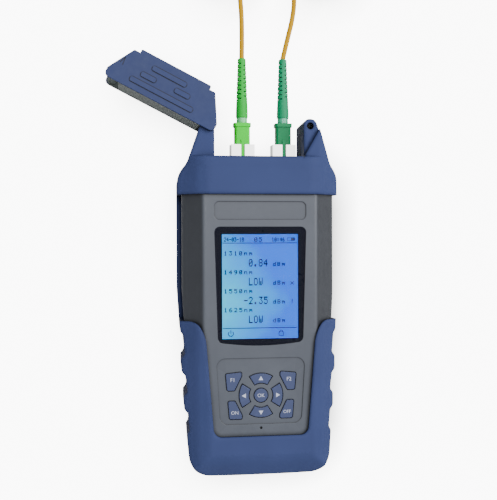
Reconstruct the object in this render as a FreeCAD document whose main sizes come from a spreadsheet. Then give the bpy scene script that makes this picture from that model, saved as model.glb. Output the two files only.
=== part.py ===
import FreeCAD, Part
import math
import os
import re

import Sketcher

# Handheld optical power meter, lying on its back, with two plugged-in test leads.
# Frame: +X to the right of the screen, +Y towards the ports, +Z out of the screen.
# The origin is the middle of the flat back face, and all sizes are in millimetres.

doc = FreeCAD.newDocument("PowerMeter")
sheet = doc.addObject("Spreadsheet::Sheet", "Sizes")

SIZES = {
    # Plastic case, seen from the front
    "body_width": 90.4,  # across the case beside the screen
    "foot_width": 75.8,  # across the case at its lower end
    "body_top": 76.4,  # from the origin to the case's port end
    "body_foot": 100.6,  # from the origin to the case's lower end
    "taper_top": 4.4,  # where the sides start to close in
    "foot_round": 15.0,
    "shoulder_round": 11.0,
    # Plastic case, seen from its end
    "face_height": 44.0,  # the screen's face above the table
    "split_height": 27.0,  # where the two shells meet
    "bevel_run": 11.8,  # the sloping border's width
    "bevel_drop": 9.0,  # and its fall
    "side_draft": 2.0,  # the sides lean in by this much from their widest level to the back
    "foot_run": 9.0,  # the lower end slopes down in front by this length
    "foot_drop": 6.0,  # and this fall
    "foot_crease": 12.0,
    "crease_round": 4.0,
    "bevel_round": 2.0,
    "back_round": 5.0,
    "shell_wall": 2.6,
    # Rubber holster
    "back_rubber": 2.5,
    "side_rubber": 2.8,
    "face_rubber": 1.8,
    "end_rubber": 3.0,
    "holster_round": 6.0,
    "holster_crease": 16.0,
    "band_foot": 59.8,  # lower edge of the band below the ports
    "shoulder_high": 77.7,  # where the ears' outer edges meet the shoulders
    "shoulder_low": 71.0,  # and where the shoulders reach the full width
    "shoulder_hollow": 12.0,
    "shoulder_curve": 14.0,
    "rim_rise": 2.4,  # the band's front rim above the deck
    "rim_wall": 1.4,
    "rail_height": 17.0,  # top of the rails along the sides
    "arm_top": -14.0,  # top of the lower cup's arms
    "arm_shelf": 75.0,  # between the arms at their very top
    "arm_bend": -22.2,  # where an arm's inner edge turns down
    "arm_gap": 64.6,  # between the arms at that bend
    "arm_curve": 7.0,
    "cup_round": 5.0,
    "cup_gap": 55.2,  # between the arms at the cup
    "cup_lip": -80.9,  # upper edge of the cup's floor
    "grip_top": -20.0,  # where the holster steps in for the grip
    "grip_width": 89.4,
    "grip_foot_width": 78.6,
    "boot_round": 13.0,
    "bump_length": 12.0,
    "bump_rise": 2.2,
    "bump_slope": 2.2,
    "bump_round": 3.0,
    "bump_pitch": 21.8,
    "bump_start": -39.6,
    "foot_bump_top": -77.6,
    "foot_bump_rise": 1.6,
    "foot_bulge": 1.2,
    "back_window_width": 70.5,
    "back_window_top": 32.0,
    "back_window_foot": -76.0,
    "back_window_round": 5.0,
    # Ears that carry the cover
    "ear_span": 60.6,  # from hole to hole
    "ear_height": 100.2,  # the holes' distance up the meter
    "ear_bore": 4.1,
    "ear_round": 3.75,
    "ear_inner": 26.5,
    "ear_tip": 33.0,
    "ear_foot": 42.4,
    "ear_face": 43.9,
    "ear_back": 16.2,
    "seat_depth": 2.6,  # step that the cover's plates lie in
    "seat_gap": 0.5,
    # Flip cover
    "open_angle": 153.0,
    "cover_end": 4.7,  # the cover reaches this far beyond each ear's hole
    "cover_rise": 3.0,
    "cover_side": 2.0,
    "cover_drop": 18.0,
    "cover_base": 51.8,
    "tongue_drop": 20.3,
    "tongue_width": 44.6,
    "cover_round": 3.0,
    "cover_corner": 1.0,
    "cover_edge": 0.4,
    "cheek_inset": 1.0,
    "plate_wall": 1.6,
    "cheek_wall": 0.9,
    "cover_gap": 0.3,
    "web_wall": 1.8,
    "web_gap": 0.7,
    "pin_size": 4.0,
    "pip_rise": 0.9,
    "rib_width": 2.7,
    "rib_rise": 0.6,
    # Display
    "window_top": 40.6,
    "window_foot": -26.2,
    "window_bulge": 3.1,
    "window_width": 53.8,
    "window_foot_width": 49.8,
    "window_round": 3.0,
    "window_edge": 0.3,
    "window_sink": 0.4,
    "window_wall": 1.3,
    "mask_wall": 0.3,
    "fit_gap": 0.2,
    "least_round": 0.2,  # where a rounding would close up inside a wall
    "lcd_width": 44.8,
    "lcd_top": 36.5,
    "lcd_foot": -24.4,
    "lcd_border": 0.6,
    "lcd_wall": 2.6,
    "lcd_gap": 0.1,
    # Label recess above the screen
    "label_width": 54.2,
    "label_top": 55.6,
    "label_foot": 44.9,
    "label_round": 3.0,
    "label_depth": 0.5,
    # Keypad
    "panel_top": -35.6,
    "panel_foot": -74.1,
    "panel_width": 52.6,
    "panel_foot_width": 48.0,
    "panel_round": 5.0,
    "panel_depth": 0.4,
    "key_rise": 0.5,  # above the recessed panel
    "key_gap": 0.4,
    "key_lip": 0.8,
    "key_flange": 1.1,
    "key_travel": 0.8,
    "key_round": 0.4,
    "key_corner": 0.9,
    "dial_height": -57.4,
    "ok_size": 8.0,
    "arrow_inner": 14.4,
    "arrow_outer": 25.6,
    "arrow_angle": 62.0,
    "soft_outer": 20.8,
    "soft_inner": 11.4,
    "soft_top": -43.7,
    "soft_foot": -54.4,
    "soft_shoulder": 15.6,
    "soft_bend": -46.0,
    "power_outer": 19.4,
    "power_inner": 11.2,
    "power_shoulder": 15.3,
    "power_bend": -68.8,
    "power_top": -60.5,
    "power_foot": -71.0,
    "hole_height": -76.3,
    "hole_size": 1.5,
    "mat_wall": 1.2,
    "dome_gap": 0.2,
    "flange_gap": 0.3,
    # Electronics
    "board_wall": 1.6,
    "board_width": 69.0,
    "board_top": 60.0,
    "board_foot": -88.0,
    "post_top": 54.0,
    "post_foot": -81.0,
    "post_top_x": 30.0,
    "post_foot_x": 27.0,
    "post_size": 8.4,
    "post_bore": 6.0,
    "screw_size": 3.0,
    "screw_length": 14.0,
    "screw_seat": 26.0,
    "head_size": 5.5,
    "head_depth": 2.2,
    "socket_size": 2.5,
    "pipe_size": 1.2,
    "pipe_sink": 0.8,
    "pipe_flange": 3.0,
    "pipe_foot": 1.0,
    "mat_round": 3.0,
    "board_round": 4.0,
    "mat_width": 46.0,
    "mat_top": -38.0,
    "buzzer_size": 12.0,
    "buzzer_depth": 5.0,
    "chip_size": 12.0,
    "chip_depth": 1.4,
    "chip_pitch": 19.0,
    # Ports
    "port_left": -8.5,
    "port_right": 16.3,
    "port_height": 28.0,
    "adapter_width": 14.0,
    "adapter_depth": 9.6,
    "adapter_rise": 10.4,  # above the deck
    "adapter_length": 28.0,
    "adapter_mouth": 15.2,
    "mouth_width": 9.5,
    "mouth_depth": 7.8,
    "adapter_flange": 21.0,
    "adapter_round": 0.6,
    "flange_round": 1.0,
    "slot_stop": 3.0,
    "flange_wall": 1.6,
    "key_slot": 2.3,
    "sleeve_bore": 2.56,
    "sleeve_size": 3.3,
    "sleeve_length": 11.0,
    "sleeve_gap": 0.1,
    "optics_length": 17.8,
    "optics_low": 22.5,
    "optics_left": -14.0,
    "optics_right": 22.0,
    "nose_size": 2.4,
    "nose_length": 3.0,
    "plate_margin": 7.0,
    "plate_round": 2.0,
    # Battery bay
    "cell_size": 14.3,
    "cell_length": 50.3,
    "cell_pitch": 14.7,
    "cell_round": 0.8,
    "nub_length": 1.2,
    "nub_round": 0.5,
    "bay_foot": -62.0,
    "bay_wall": 1.6,
    "bay_lift": 2.6,
    "contact_wall": 0.5,
    "contact_margin": 2.0,
    "door_margin": 4.6,
    "door_wall": 1.7,
    "door_round": 1.5,
    "door_sink": 0.2,
    "door_gap": 0.3,
    "door_travel": 6.0,
    "catch_length": 4.0,
    "catch_top": 12.0,
    "catch_foot": 14.0,
    "catch_wall": 1.3,
    "catch_lip": 0.8,
    # Plugs of the leads
    "grip_size": 9.0,
    "grip_depth": 7.4,
    "grip_length": 25.0,
    "grip_shown": 12.9,  # what stands out of the adapter
    "grip_round": 1.4,
    "collar_round": 1.8,
    "frame_round": 0.6,
    "grip_collar": 10.2,
    "collar_length": 2.2,
    "grip_bore": 6.8,
    "ridge_width": 2.0,
    "ridge_rise": 0.5,
    "ridge_length": 15.0,
    "frame_size": 6.6,
    "frame_nose": 3.0,  # what stands out in front of the grip
    "tail_size": 6.4,
    "tail_length": 3.1,
    "ferrule_length": 11.5,
    "ferrule_size": 2.5,
    "ferrule_tip": -33.5,
    "boot_size": 7.2,
    "boot_tip": 4.8,
    "boot_length": 35.4,
    "boot_edge": 0.6,
    "boot_straight": 3.0,
    "slot_count": 17,
    "slot_width": 0.6,
    "slot_pitch": 1.3,
    "slot_start": 11.2,
    "slot_web": 0.7,
    "cord_size": 3.0,
    # Cords of the leads
    "coil_size": 36.0,
    "coil_band": 9.0,
    "coil_y": 211.0,
    "coil_left": -26.0,
    "coil_right": 41.0,
    "coil_round": 3.0,
    "coil_tail": 4.5,  # the tail's height above the table
    "far_gap": 17.0,
}

for row, (name, size) in enumerate(SIZES.items(), 1):
    sheet.set(f"A{row}", name)
    sheet.set(f"B{row}", str(size))
    sheet.setAlias(f"B{row}", name)
doc.recompute()


PAST = "5"  # a cut runs on by this much where nothing is left to cut
SUNK = "1"  # a solid's added form starts this deep in it, and a cut this far ahead of its face


def bound(text):
    """The expression with each size's name written as its cell in the sheet."""
    return re.sub(r"[a-z_]+", lambda w: "Sizes." + w[0] if w[0] in SIZES else w[0], str(text))


def value(text):
    """What an expression is worth with the sheet's present numbers."""
    found = sheet.evalExpression(bound(text))
    return float(getattr(found, "Value", found))


# Outlines: lists of corners (x, y) or (x, y, rounding), each an expression.


def mirrored(corners):
    """The outline's mirror image across the meter's middle line."""
    return [(f"-({x})", y, *more) for x, y, *more in reversed(corners)]


def both_sides(right, foot=()):
    """A symmetric outline from its right half, listed from top to bottom."""
    return [*right, *foot, *mirrored(right)]


def block(left, low, right, high, *rounding):
    """A rectangle between two corners."""
    return [(left, low, *rounding), (right, low, *rounding),
            (right, high, *rounding), (left, high, *rounding)]


def centred(width, low, high, *rounding):
    """A rectangle astride the middle line."""
    return block(f"-({width}) / 2", low, f"({width}) / 2", high, *rounding)


def shifted(corners, across, along="0"):
    """The outline moved sideways."""
    return [(f"({x}) + ({across})", f"({y}) + ({along})", *more) for x, y, *more in corners]


def outward(start, end, side):
    """The unit normal of an edge, pointing out of the outline."""
    run, rise = end[0] - start[0], end[1] - start[1]
    length = math.hypot(run, rise)
    return side * rise / length, -side * run / length


def grown(corners, amount):
    """The outline with every edge moved outwards by one amount, inwards if it is negative."""
    spots = [(value(x), value(y)) for x, y, *_ in corners]
    last = len(spots)
    area = sum(spots[i - 1][0] * spots[i][1] - spots[i][0] * spots[i - 1][1] for i in range(last))
    side = math.copysign(1.0, area)
    moved = []
    for i, (x, y, *more) in enumerate(corners):
        one = outward(spots[i - 1], spots[i], side)
        two = outward(spots[i], spots[(i + 1) % last], side)
        share = 1 + one[0] * two[0] + one[1] * two[1]
        across, along = (one[0] + two[0]) / share, (one[1] + two[1]) / share
        convex = side * (one[0] * two[1] - one[1] * two[0]) > 0
        sign = "+" if convex else "-"
        more = [f"max(({more[0]}) {sign} ({amount}); least_round)"] if more else []
        moved.append((f"({x}) + ({amount}) * {across:.6f}", f"({y}) + ({amount}) * {along:.6f}", *more))
    return moved


# Sketches and features

PLANES = {"top": "XY_Plane", "front": "XZ_Plane", "side": "YZ_Plane"}
TURNS = {"top": "Y_Axis", "front": "Z_Axis"}


def origin_of(body, role):
    """One of a body's own origin planes or axes."""
    return next(f for f in body.Origin.OriginFeatures if f.Role == role)


def tie(sketch, kind, name, text, *places):
    """Adds a dimension to a sketch and binds it to an expression."""
    number = sketch.addConstraint(Sketcher.Constraint(kind, *places, value(text)))
    sketch.renameConstraint(number, name)
    return name, bound(text)


def draw_corners(sketch, tag, corners):
    """Draws one closed outline and returns the expressions of its dimensions."""
    spots = [FreeCAD.Vector(value(x), value(y), 0) for x, y, *_ in corners]
    count, first = len(spots), sketch.GeometryCount
    for i, spot in enumerate(spots):
        sketch.addGeometry(Part.LineSegment(spot, spots[(i + 1) % count]))
    ties = []
    for i, (x, y, *_) in enumerate(corners):
        line, after = first + i, first + (i + 1) % count
        sketch.addConstraint(Sketcher.Constraint("Coincident", line, 2, after, 1))
        ties.append(tie(sketch, "DistanceX", f"x{tag}_{i}", x, -1, 1, line, 1))
        ties.append(tie(sketch, "DistanceY", f"y{tag}_{i}", y, -1, 1, line, 1))
    for i, (_, _, *rounding) in enumerate(corners):
        if rounding:
            arc = sketch.GeometryCount
            sketch.fillet(first + i, 1, value(rounding[0]), True, True)
            ties.append(tie(sketch, "Radius", f"r{tag}_{i}", rounding[0], arc))
    return ties


def draw_circle(sketch, tag, x, y, size):
    """Draws one circle and returns the expressions of its dimensions."""
    circle = sketch.GeometryCount
    centre = FreeCAD.Vector(value(x), value(y), 0)
    sketch.addGeometry(Part.Circle(centre, FreeCAD.Vector(0, 0, 1), value(size) / 2))
    return [tie(sketch, "DistanceX", f"x{tag}", x, -1, 1, circle, 3),
            tie(sketch, "DistanceY", f"y{tag}", y, -1, 1, circle, 3),
            tie(sketch, "Diameter", f"d{tag}", size, circle)]


def draw_sector(sketch, tag, x, y, inner, outer, middle, spread):
    """Draws a piece of a ring and returns the expressions of its dimensions."""
    first, ties = sketch.GeometryCount, []
    centre = FreeCAD.Vector(value(x), value(y), 0)
    low, high = (math.radians(value(f"{middle} {sign} ({spread}) / 2")) for sign in "-+")
    for number, radius in enumerate((inner, outer)):
        arc = first + number
        ring = Part.Circle(centre, FreeCAD.Vector(0, 0, 1), value(radius))
        sketch.addGeometry(Part.ArcOfCircle(ring, low, high))
        ties.append(tie(sketch, "DistanceX", f"x{tag}_{number}", x, -1, 1, arc, 3))
        ties.append(tie(sketch, "DistanceY", f"y{tag}_{number}", y, -1, 1, arc, 3))
        ties.append(tie(sketch, "Radius", f"r{tag}_{number}", radius, arc))
        for end, sign in ((1, "-"), (2, "+")):
            reach = f"({x}) + ({radius}) * cos({middle} {sign} ({spread}) / 2)"
            ties.append(tie(sketch, "DistanceX", f"e{tag}_{number}{end}", reach, -1, 1, arc, end))
    for number, end in enumerate((1, 2), first + 2):
        spots = [sketch.getPoint(first + side, end) for side in (0, 1)]
        sketch.addGeometry(Part.LineSegment(*spots))
        sketch.addConstraint(Sketcher.Constraint("Coincident", number, 1, first, end))
        sketch.addConstraint(Sketcher.Constraint("Coincident", number, 2, first + 1, end))
    return ties


DRAWN = {"circle": draw_circle, "sector": draw_sector}


def draw(body, name, plane, lift, outlines):
    """A sketch on one of the body's origin planes, lifted along the plane's normal."""
    sketch = body.newObject("Sketcher::SketchObject", name)
    sketch.AttachmentSupport = (origin_of(body, PLANES[plane]), "")
    sketch.MapMode = "FlatFace"
    sketch.setExpression("AttachmentOffset.Base.z", bound(lift))
    ties = []
    for tag, outline in enumerate(outlines):
        if outline[0] in DRAWN:
            ties += DRAWN[outline[0]](sketch, tag, *outline[1:])
        else:
            ties += draw_corners(sketch, tag, outline)
    for dimension, text in ties:
        sketch.setExpression(f"Constraints.{dimension}", text)
    return sketch


def prism(body, name, plane, low, high, *outlines, cut=False):
    """Pads or pockets outlines between two levels.

    The levels are heights on the top plane, distances up the meter on the front plane, and
    distances to the right on the side plane.
    """
    lift = f"-({high})" if plane == "front" else low
    sketch = draw(body, f"{name}_outline", plane, lift, outlines)
    made = body.newObject("PartDesign::Pocket" if cut else "PartDesign::Pad", name)
    made.Profile = sketch
    made.setExpression("Length", bound(f"({high}) - ({low})"))
    made.Reversed = cut
    return made


def turned(body, name, plane, outline):
    """Revolves an outline, drawn with its radius as x, about the body's Y or Z axis."""
    made = body.newObject("PartDesign::Revolution", name)
    made.Profile = draw(body, f"{name}_outline", plane, "0", [outline])
    made.ReferenceAxis = (origin_of(body, TURNS[plane]), [""])
    made.Angle = 360
    return made


def new_body(label):
    """An empty body whose label names its file."""
    made = doc.addObject("PartDesign::Body", label)
    made.Label = label
    return made


def body_on(label, base):
    """A body that goes on from an existing solid."""
    made = new_body(label)
    made.BaseFeature = base
    doc.recompute()
    return made


def boolean(kind, name, base, tool):
    """Cut or Common of two objects."""
    made = doc.addObject(f"Part::{kind}", name)
    made.Label = name
    made.Base = base
    made.Tool = tool
    return made


def place(thing, x, y, z, turn="0"):
    """Moves an object and turns it about Z."""
    thing.Placement = FreeCAD.Placement(FreeCAD.Vector(), FreeCAD.Rotation(FreeCAD.Vector(0, 0, 1), 1))
    for axis, text in zip("xyz", (x, y, z), strict=True):
        thing.setExpression(f"Placement.Base.{axis}", bound(text))
    thing.setExpression("Placement.Rotation.Angle", bound(turn))


def round_edges(body, name, radius, chosen):
    """Rounds the edges of the body's present shape that a test picks."""
    doc.recompute()
    base = body.Tip
    names = [f"Edge{i}" for i, edge in enumerate(base.Shape.Edges, 1) if chosen(edge)]
    made = body.newObject("PartDesign::Fillet", name)
    made.Base = (base, names)
    made.setExpression("Radius", bound(radius))
    return made


def at_level(level):
    """A test for edges that lie wholly at one height."""
    height = value(level)
    return lambda edge: all(abs(v.Z - height) < 1e-4 for v in edge.Vertexes)


EXPORTED = []


def keep(thing, label=None):
    """Marks an object as one of the part's pieces."""
    if label:
        thing.Label = label
    EXPORTED.append(thing)
    return thing


# Case: one outer form, split into a front and a rear shell, hollow inside

CREASE = "(body_width / 2 - bevel_run)"
DECK = "(body_top + end_rubber)"
RIM = f"({DECK} + rim_rise)"
HOLSTER_FOOT = "(-body_foot - end_rubber)"
FACE = "(face_height + face_rubber)"

CASE_PLAN = both_sides([
    ("body_width / 2", "body_top", "shoulder_round"),
    ("body_width / 2", "taper_top"),
    ("foot_width / 2", "-body_foot", "foot_round"),
])
CASE_SECTION = both_sides([
    (CREASE, "face_height", "crease_round"),
    ("body_width / 2", "face_height - bevel_drop", "bevel_round"),
    ("body_width / 2 - side_draft", "back_rubber", "back_round"),
])
CASE_SIDE = [
    ("body_top", "back_rubber", "back_round"),
    ("body_top", "face_height"),
    ("foot_run - body_foot", "face_height", "foot_crease"),
    ("-body_foot", "face_height - foot_drop", "bevel_round"),
    ("-body_foot", "back_rubber", "back_round"),
]
WIDEST = "(face_height - bevel_drop)"
CLEAR = "(face_height / 8)"


def drafted(name, plan):
    """A plan that narrows towards the back and is as wide as drawn at the case's widest level."""
    made = new_body(name)
    prism(made, f"{name}_pad", "top", f"-{CLEAR}", f"face_height + {CLEAR}",
          grown(plan, f"-side_draft * ({WIDEST} + {CLEAR}) / {WIDEST}"))
    doc.recompute()
    pad, low = made.Tip, value(f"-{CLEAR}")
    levels = {f"Face{i}": {round(v.Z, 3) for v in face.Vertexes}
              for i, face in enumerate(pad.Shape.Faces, 1)}
    lean = made.newObject("PartDesign::Draft", f"{name}_lean")
    lean.Base = (pad, [face for face, heights in levels.items() if len(heights) > 1])
    lean.NeutralPlane = (pad, [face for face, heights in levels.items() if heights == {round(low, 3)}])
    lean.setExpression("Angle", bound(f"atan(side_draft / {WIDEST})"))
    lean.Reversed = True
    return made


def long_form(name, section, plan, side):
    """What a cross section, a plan and a side view have in common."""
    run = new_body(f"{name}_run")
    prism(run, f"{name}_section", "front", "-1.2 * body_foot", "1.2 * body_foot", section)
    ends = new_body(f"{name}_ends")
    prism(ends, f"{name}_side", "side", "-body_width", "body_width", side)
    sides = boolean("Common", f"{name}_sides", run, drafted(f"{name}_plan", plan))
    return boolean("Common", name, sides, ends)


def ports(edge, depth_edge):
    """Openings for the two adapters, drawn on the front plane."""
    half, rise = f"adapter_width / 2 + {edge}", f"adapter_depth / 2 + {depth_edge}"
    opening = block(f"-({half})", f"port_height - ({rise})", half, f"port_height + {rise}")
    return [shifted(opening, x) for x in ("port_left", "port_right")]


def posts(size):
    """Circles at the four screw posts."""
    ends = (("post_top_x", "post_top"), ("post_foot_x", "post_foot"))
    return [("circle", f"{side}{x}", y, size) for x, y in ends for side in ("", "-")]


case_form = long_form("case_form", CASE_SECTION, CASE_PLAN, CASE_SIDE)
CASE_VIEWS = (CASE_SECTION, CASE_PLAN, CASE_SIDE)
case_hollow = long_form("case_hollow", *[grown(view, "-shell_wall") for view in CASE_VIEWS])
case_stock = boolean("Cut", "case_stock", case_form, case_hollow)

upper_space = doc.addObject("Part::Box", "upper_space")
lower_space = doc.addObject("Part::Box", "lower_space")
for space, low, high in ((upper_space, "split_height", "2 * face_height"),
                         (lower_space, f"-{PAST}", "split_height")):
    place(space, "-body_width", "-2 * body_foot", low)
    space.setExpression("Length", bound("2 * body_width"))
    space.setExpression("Width", bound("4 * body_foot"))
    space.setExpression("Height", bound(f"({high}) - ({low})"))
front_stock = boolean("Common", "front_stock", case_stock, upper_space)
rear_stock = boolean("Common", "rear_stock", case_stock, lower_space)


# Levels inside the case, from the face downwards
INNER = "(face_height - shell_wall)"
BOARD_TOP = f"({INNER} - mat_wall - key_travel - dome_gap - key_flange - flange_gap)"
BOARD_LOW = f"({BOARD_TOP} - board_wall)"
MAT_TOP = f"({BOARD_TOP} + mat_wall)"
KEY_LOW = f"({MAT_TOP} + key_travel + dome_gap)"
KEY_TOP = "(face_height - panel_depth + key_rise)"
GLASS_LOW = "(face_height - window_sink - window_wall)"
MASK_LOW = f"({GLASS_LOW} - mask_wall)"
LCD_TOP = f"({MASK_LOW} - lcd_gap)"
LCD_LOW = f"({LCD_TOP} - lcd_wall)"
FLOOR = "(back_rubber + shell_wall)"
FAR_UP = "2 * face_height"

# Outlines on the face

WINDOW = both_sides([
    ("window_width / 2", "window_top", "window_round"),
    ("window_foot_width / 2", "window_foot", "window_round"),
], [("0", "window_foot - window_bulge", "3 * window_foot_width")])
LCD = centred("lcd_width", "lcd_foot", "lcd_top")
PANEL = both_sides([
    ("panel_width / 2", "panel_top", "panel_round"),
    ("panel_foot_width / 2", "panel_foot", "panel_round"),
])
SOFT_KEY = [
    ("soft_outer", "soft_top - key_corner", "key_corner"),
    ("soft_inner", "soft_top", "key_corner"),
    ("soft_inner", "soft_bend"),
    ("soft_shoulder", "soft_foot", "key_corner"),
    ("soft_outer - key_corner", "soft_foot", "key_corner"),
]
POWER_KEY = [
    ("power_outer", "power_top", "key_corner"),
    ("power_shoulder", "power_top", "key_corner"),
    ("power_inner", "power_bend"),
    ("power_inner", "power_foot", "key_corner"),
    ("power_outer - key_corner", "power_foot", "key_corner"),
]


QUARTERS = {"up": "0", "left": "90", "down": "180", "right": "270"}


def arrow(grow, x="0", y="0", turn="0"):
    """One arrow key's ring sector about a centre, with its edges moved outwards."""
    spread = f"arrow_angle + {grow} * 720 / (pi * (arrow_inner + arrow_outer) / 2)"
    return ("sector", x, y, f"arrow_inner / 2 - {grow}", f"arrow_outer / 2 + {grow}", f"90 + {turn}", spread)


# Rear shell: panel that fills the holster's window, battery bay, screw posts

BAY_HALF = "(1.5 * cell_pitch + cell_size / 2 + door_gap)"
BAY_TOP = "(bay_foot + cell_length + 4 * contact_wall + 2 * door_gap)"
BAY_ROOF = "(bay_lift + cell_size + 2 * door_gap)"
BAY = block(f"-{BAY_HALF}", "bay_foot", BAY_HALF, BAY_TOP)
DOOR_HALF = f"({BAY_HALF} + door_margin)"
DOOR_TOP = f"({BAY_TOP} + door_margin)"
DOOR_FOOT = "(bay_foot - door_margin)"
DOOR_WELL = block(f"-{DOOR_HALF}", f"{DOOR_FOOT} - door_travel - door_gap", DOOR_HALF, DOOR_TOP,
                  "door_round")
DOOR_LEVEL = "(door_sink + door_wall + door_gap / 3)"
BACK_WINDOW = centred("back_window_width", "back_window_foot", "back_window_top", "back_window_round")
CATCHES = (f"{BAY_TOP} - catch_top", "bay_foot + catch_foot")


def catch(y, side, start, reach, length):
    """One of the door's catches, or the slot that it runs in, beside the bay."""
    return block(f"{side} * ({BAY_HALF} + {start})", f"{y} - ({length})",
                 f"{side} * ({BAY_HALF} + {reach})", f"{y} + catch_length / 2 + door_gap")


rear_shell = keep(body_on("rear_shell", rear_stock))
prism(rear_shell, "back_panel", "top", "0", "back_rubber + shell_wall / 2", grown(BACK_WINDOW, "-fit_gap"))
prism(rear_shell, "bay_block", "top", f"{FLOOR} - {SUNK}", f"{BAY_ROOF} + bay_wall", grown(BAY, "bay_wall"))
prism(rear_shell, "posts", "top", f"{FLOOR} - {SUNK}", BOARD_LOW, *posts("post_size"))
prism(rear_shell, "bay", "top", f"-{PAST}", BAY_ROOF, BAY, cut=True)
prism(rear_shell, "door_well", "top", f"-{PAST}", DOOR_LEVEL, DOOR_WELL, cut=True)
prism(rear_shell, "screw_wells", "top", f"-{PAST}", "screw_seat", *posts("post_bore"), cut=True)
prism(rear_shell, "screw_holes", "top", f"screw_seat - {SUNK}", "face_height",
      *posts("screw_size + fit_gap"), cut=True)
prism(rear_shell, "port_gaps", "front", "body_top - 2 * shell_wall", f"body_top + {PAST}",
      *ports("fit_gap", "fit_gap"), cut=True)
prism(rear_shell, "catch_slots", "top", f"-{PAST}", f"{FLOOR} + {SUNK}",
      *[catch(y, side, "bay_wall + door_gap", "bay_wall + catch_wall + 3 * door_gap",
              "door_travel + catch_length / 2") for y in CATCHES for side in (1, -1)], cut=True)

# Front shell: openings for the display and keys, bosses for the screws

front_shell = keep(body_on("front_shell", front_stock))
prism(front_shell, "bosses", "top", BOARD_TOP, f"{INNER} + shell_wall / 2", *posts("post_size"))
prism(front_shell, "boss_bores", "top", f"{BOARD_TOP} - {SUNK}", f"{INNER} + shell_wall / 4",
      *posts("screw_size + fit_gap"), cut=True)
prism(front_shell, "label_recess", "top", "face_height - label_depth", FAR_UP,
      centred("label_width", "label_foot", "label_top", "label_round"), cut=True)
prism(front_shell, "window_seat", "top", MASK_LOW, FAR_UP, grown(WINDOW, "fit_gap"), cut=True)
prism(front_shell, "lcd_opening", "top", f"{INNER} - {SUNK}", FAR_UP, grown(LCD, "lcd_border + fit_gap"),
      cut=True)
prism(front_shell, "keypad_recess", "top", "face_height - panel_depth", FAR_UP, PANEL, cut=True)
prism(front_shell, "key_wells", "top", f"{INNER} - {SUNK}", FAR_UP,
      grown(SOFT_KEY, "key_gap"), mirrored(grown(SOFT_KEY, "key_gap")),
      grown(POWER_KEY, "key_gap"), mirrored(grown(POWER_KEY, "key_gap")),
      ("circle", "0", "dial_height", "ok_size + 2 * key_gap"),
      ("circle", "0", "hole_height", "hole_size"), cut=True)
prism(front_shell, "arrow_wells", "top", f"{INNER} - {SUNK}", FAR_UP,
      *[arrow("key_gap", "0", "dial_height", turn) for turn in QUARTERS.values()], cut=True)
prism(front_shell, "port_notches", "front", "body_top - 2 * shell_wall", f"body_top + {PAST}",
      *ports("fit_gap", "fit_gap"), cut=True)

# Rubber holster: outer form, bumps and ears, with the case's own form taken out

HALF = "(body_width / 2 + side_rubber)"
BEVEL_START = f"({CREASE} + face_rubber * tan(atan(bevel_drop / bevel_run) / 2))"
BEVEL_LEVEL = f"({FACE} - ({HALF} - {BEVEL_START}) * bevel_drop / bevel_run)"
GRIP_LEAN = f"((grip_width - grip_foot_width) / 2 / (grip_top - bump_slope - {HOLSTER_FOOT}))"
EAR_TOP = "(ear_height + ear_round)"
HOLSTER_SECTION = both_sides([
    (BEVEL_START, FACE, "holster_crease"),
    (HALF, BEVEL_LEVEL, "bevel_round + bevel_round / 2"),
    (f"{HALF} - side_draft", "0", "holster_round"),
])
HOLSTER_SIDE = [
    (f"{EAR_TOP} + {PAST}", "0"),
    (f"{EAR_TOP} + {PAST}", FACE),
    (f"{HOLSTER_FOOT} + foot_run", FACE, "foot_crease"),
    (f"{HOLSTER_FOOT} - foot_bulge", f"{FACE} - foot_drop", "bevel_round"),
    (f"{HOLSTER_FOOT} - foot_bulge", "0", "holster_round"),
]


def grip_edge(y):
    """The holster's half width beside the grip."""
    return f"(grip_width / 2 - (grip_top - bump_slope - ({y})) * {GRIP_LEAN})"


def wave(middle):
    """A grip bump's corners on the right side, from its upper slope to its lower one."""
    edge, half = grip_edge(middle), "bump_length / 2"
    return [(edge, f"{middle} + {half}", "bump_round"),
            (f"{edge} + bump_rise", f"{middle} + {half} - bump_slope", "bump_round"),
            (f"{edge} + bump_rise", f"{middle} - {half} + bump_slope", "bump_round"),
            (edge, f"{middle} - {half}", "bump_round")]


HOLSTER_PLAN = both_sides([
    ("ear_tip", EAR_TOP, "ear_round - least_round"),
    ("ear_foot", "shoulder_high", "shoulder_hollow"),
    (HALF, "shoulder_low", "shoulder_curve"),
    (HALF, "taper_top", "grip_width"),
    (f"{HALF} - (taper_top - grip_top) * {GRIP_LEAN}", "grip_top", "bump_round"),
    ("grip_width / 2", "grip_top - bump_slope", "bump_round"),
    *wave("bump_start"),
    *wave("(bump_start - bump_pitch)"),
    (grip_edge("foot_bump_top"), "foot_bump_top", "bump_round"),
    (f"{grip_edge('foot_bump_top')} + foot_bump_rise", "foot_bump_top - bump_slope", "bump_round"),
    ("grip_foot_width / 2 + foot_bump_rise", HOLSTER_FOOT, "boot_round"),
], [("0", f"{HOLSTER_FOOT} - foot_bulge", "grip_width")])
FRONT_WINDOW = both_sides([
    (f"body_width / 2 + {PAST}", "band_foot"),
    (f"body_width / 2 + {PAST}", "arm_top"),
    ("arm_shelf / 2", "arm_top", "arm_curve"),
    ("arm_gap / 2", "arm_bend", "3 * arm_curve"),
    ("cup_gap / 2", "cup_lip", "cup_round"),
])


COVER_LENGTH = "(ear_span + 2 * cover_end)"


def step_line(x):
    """Height of the ears' diagonal step, which follows the closed cover's edge."""
    rise = f"(cover_drop - cover_side) / (({COVER_LENGTH} - cover_base) / 2)"
    return f"(ear_height - cover_drop + ({x} - cover_base / 2 - seat_gap) * {rise})"


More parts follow.
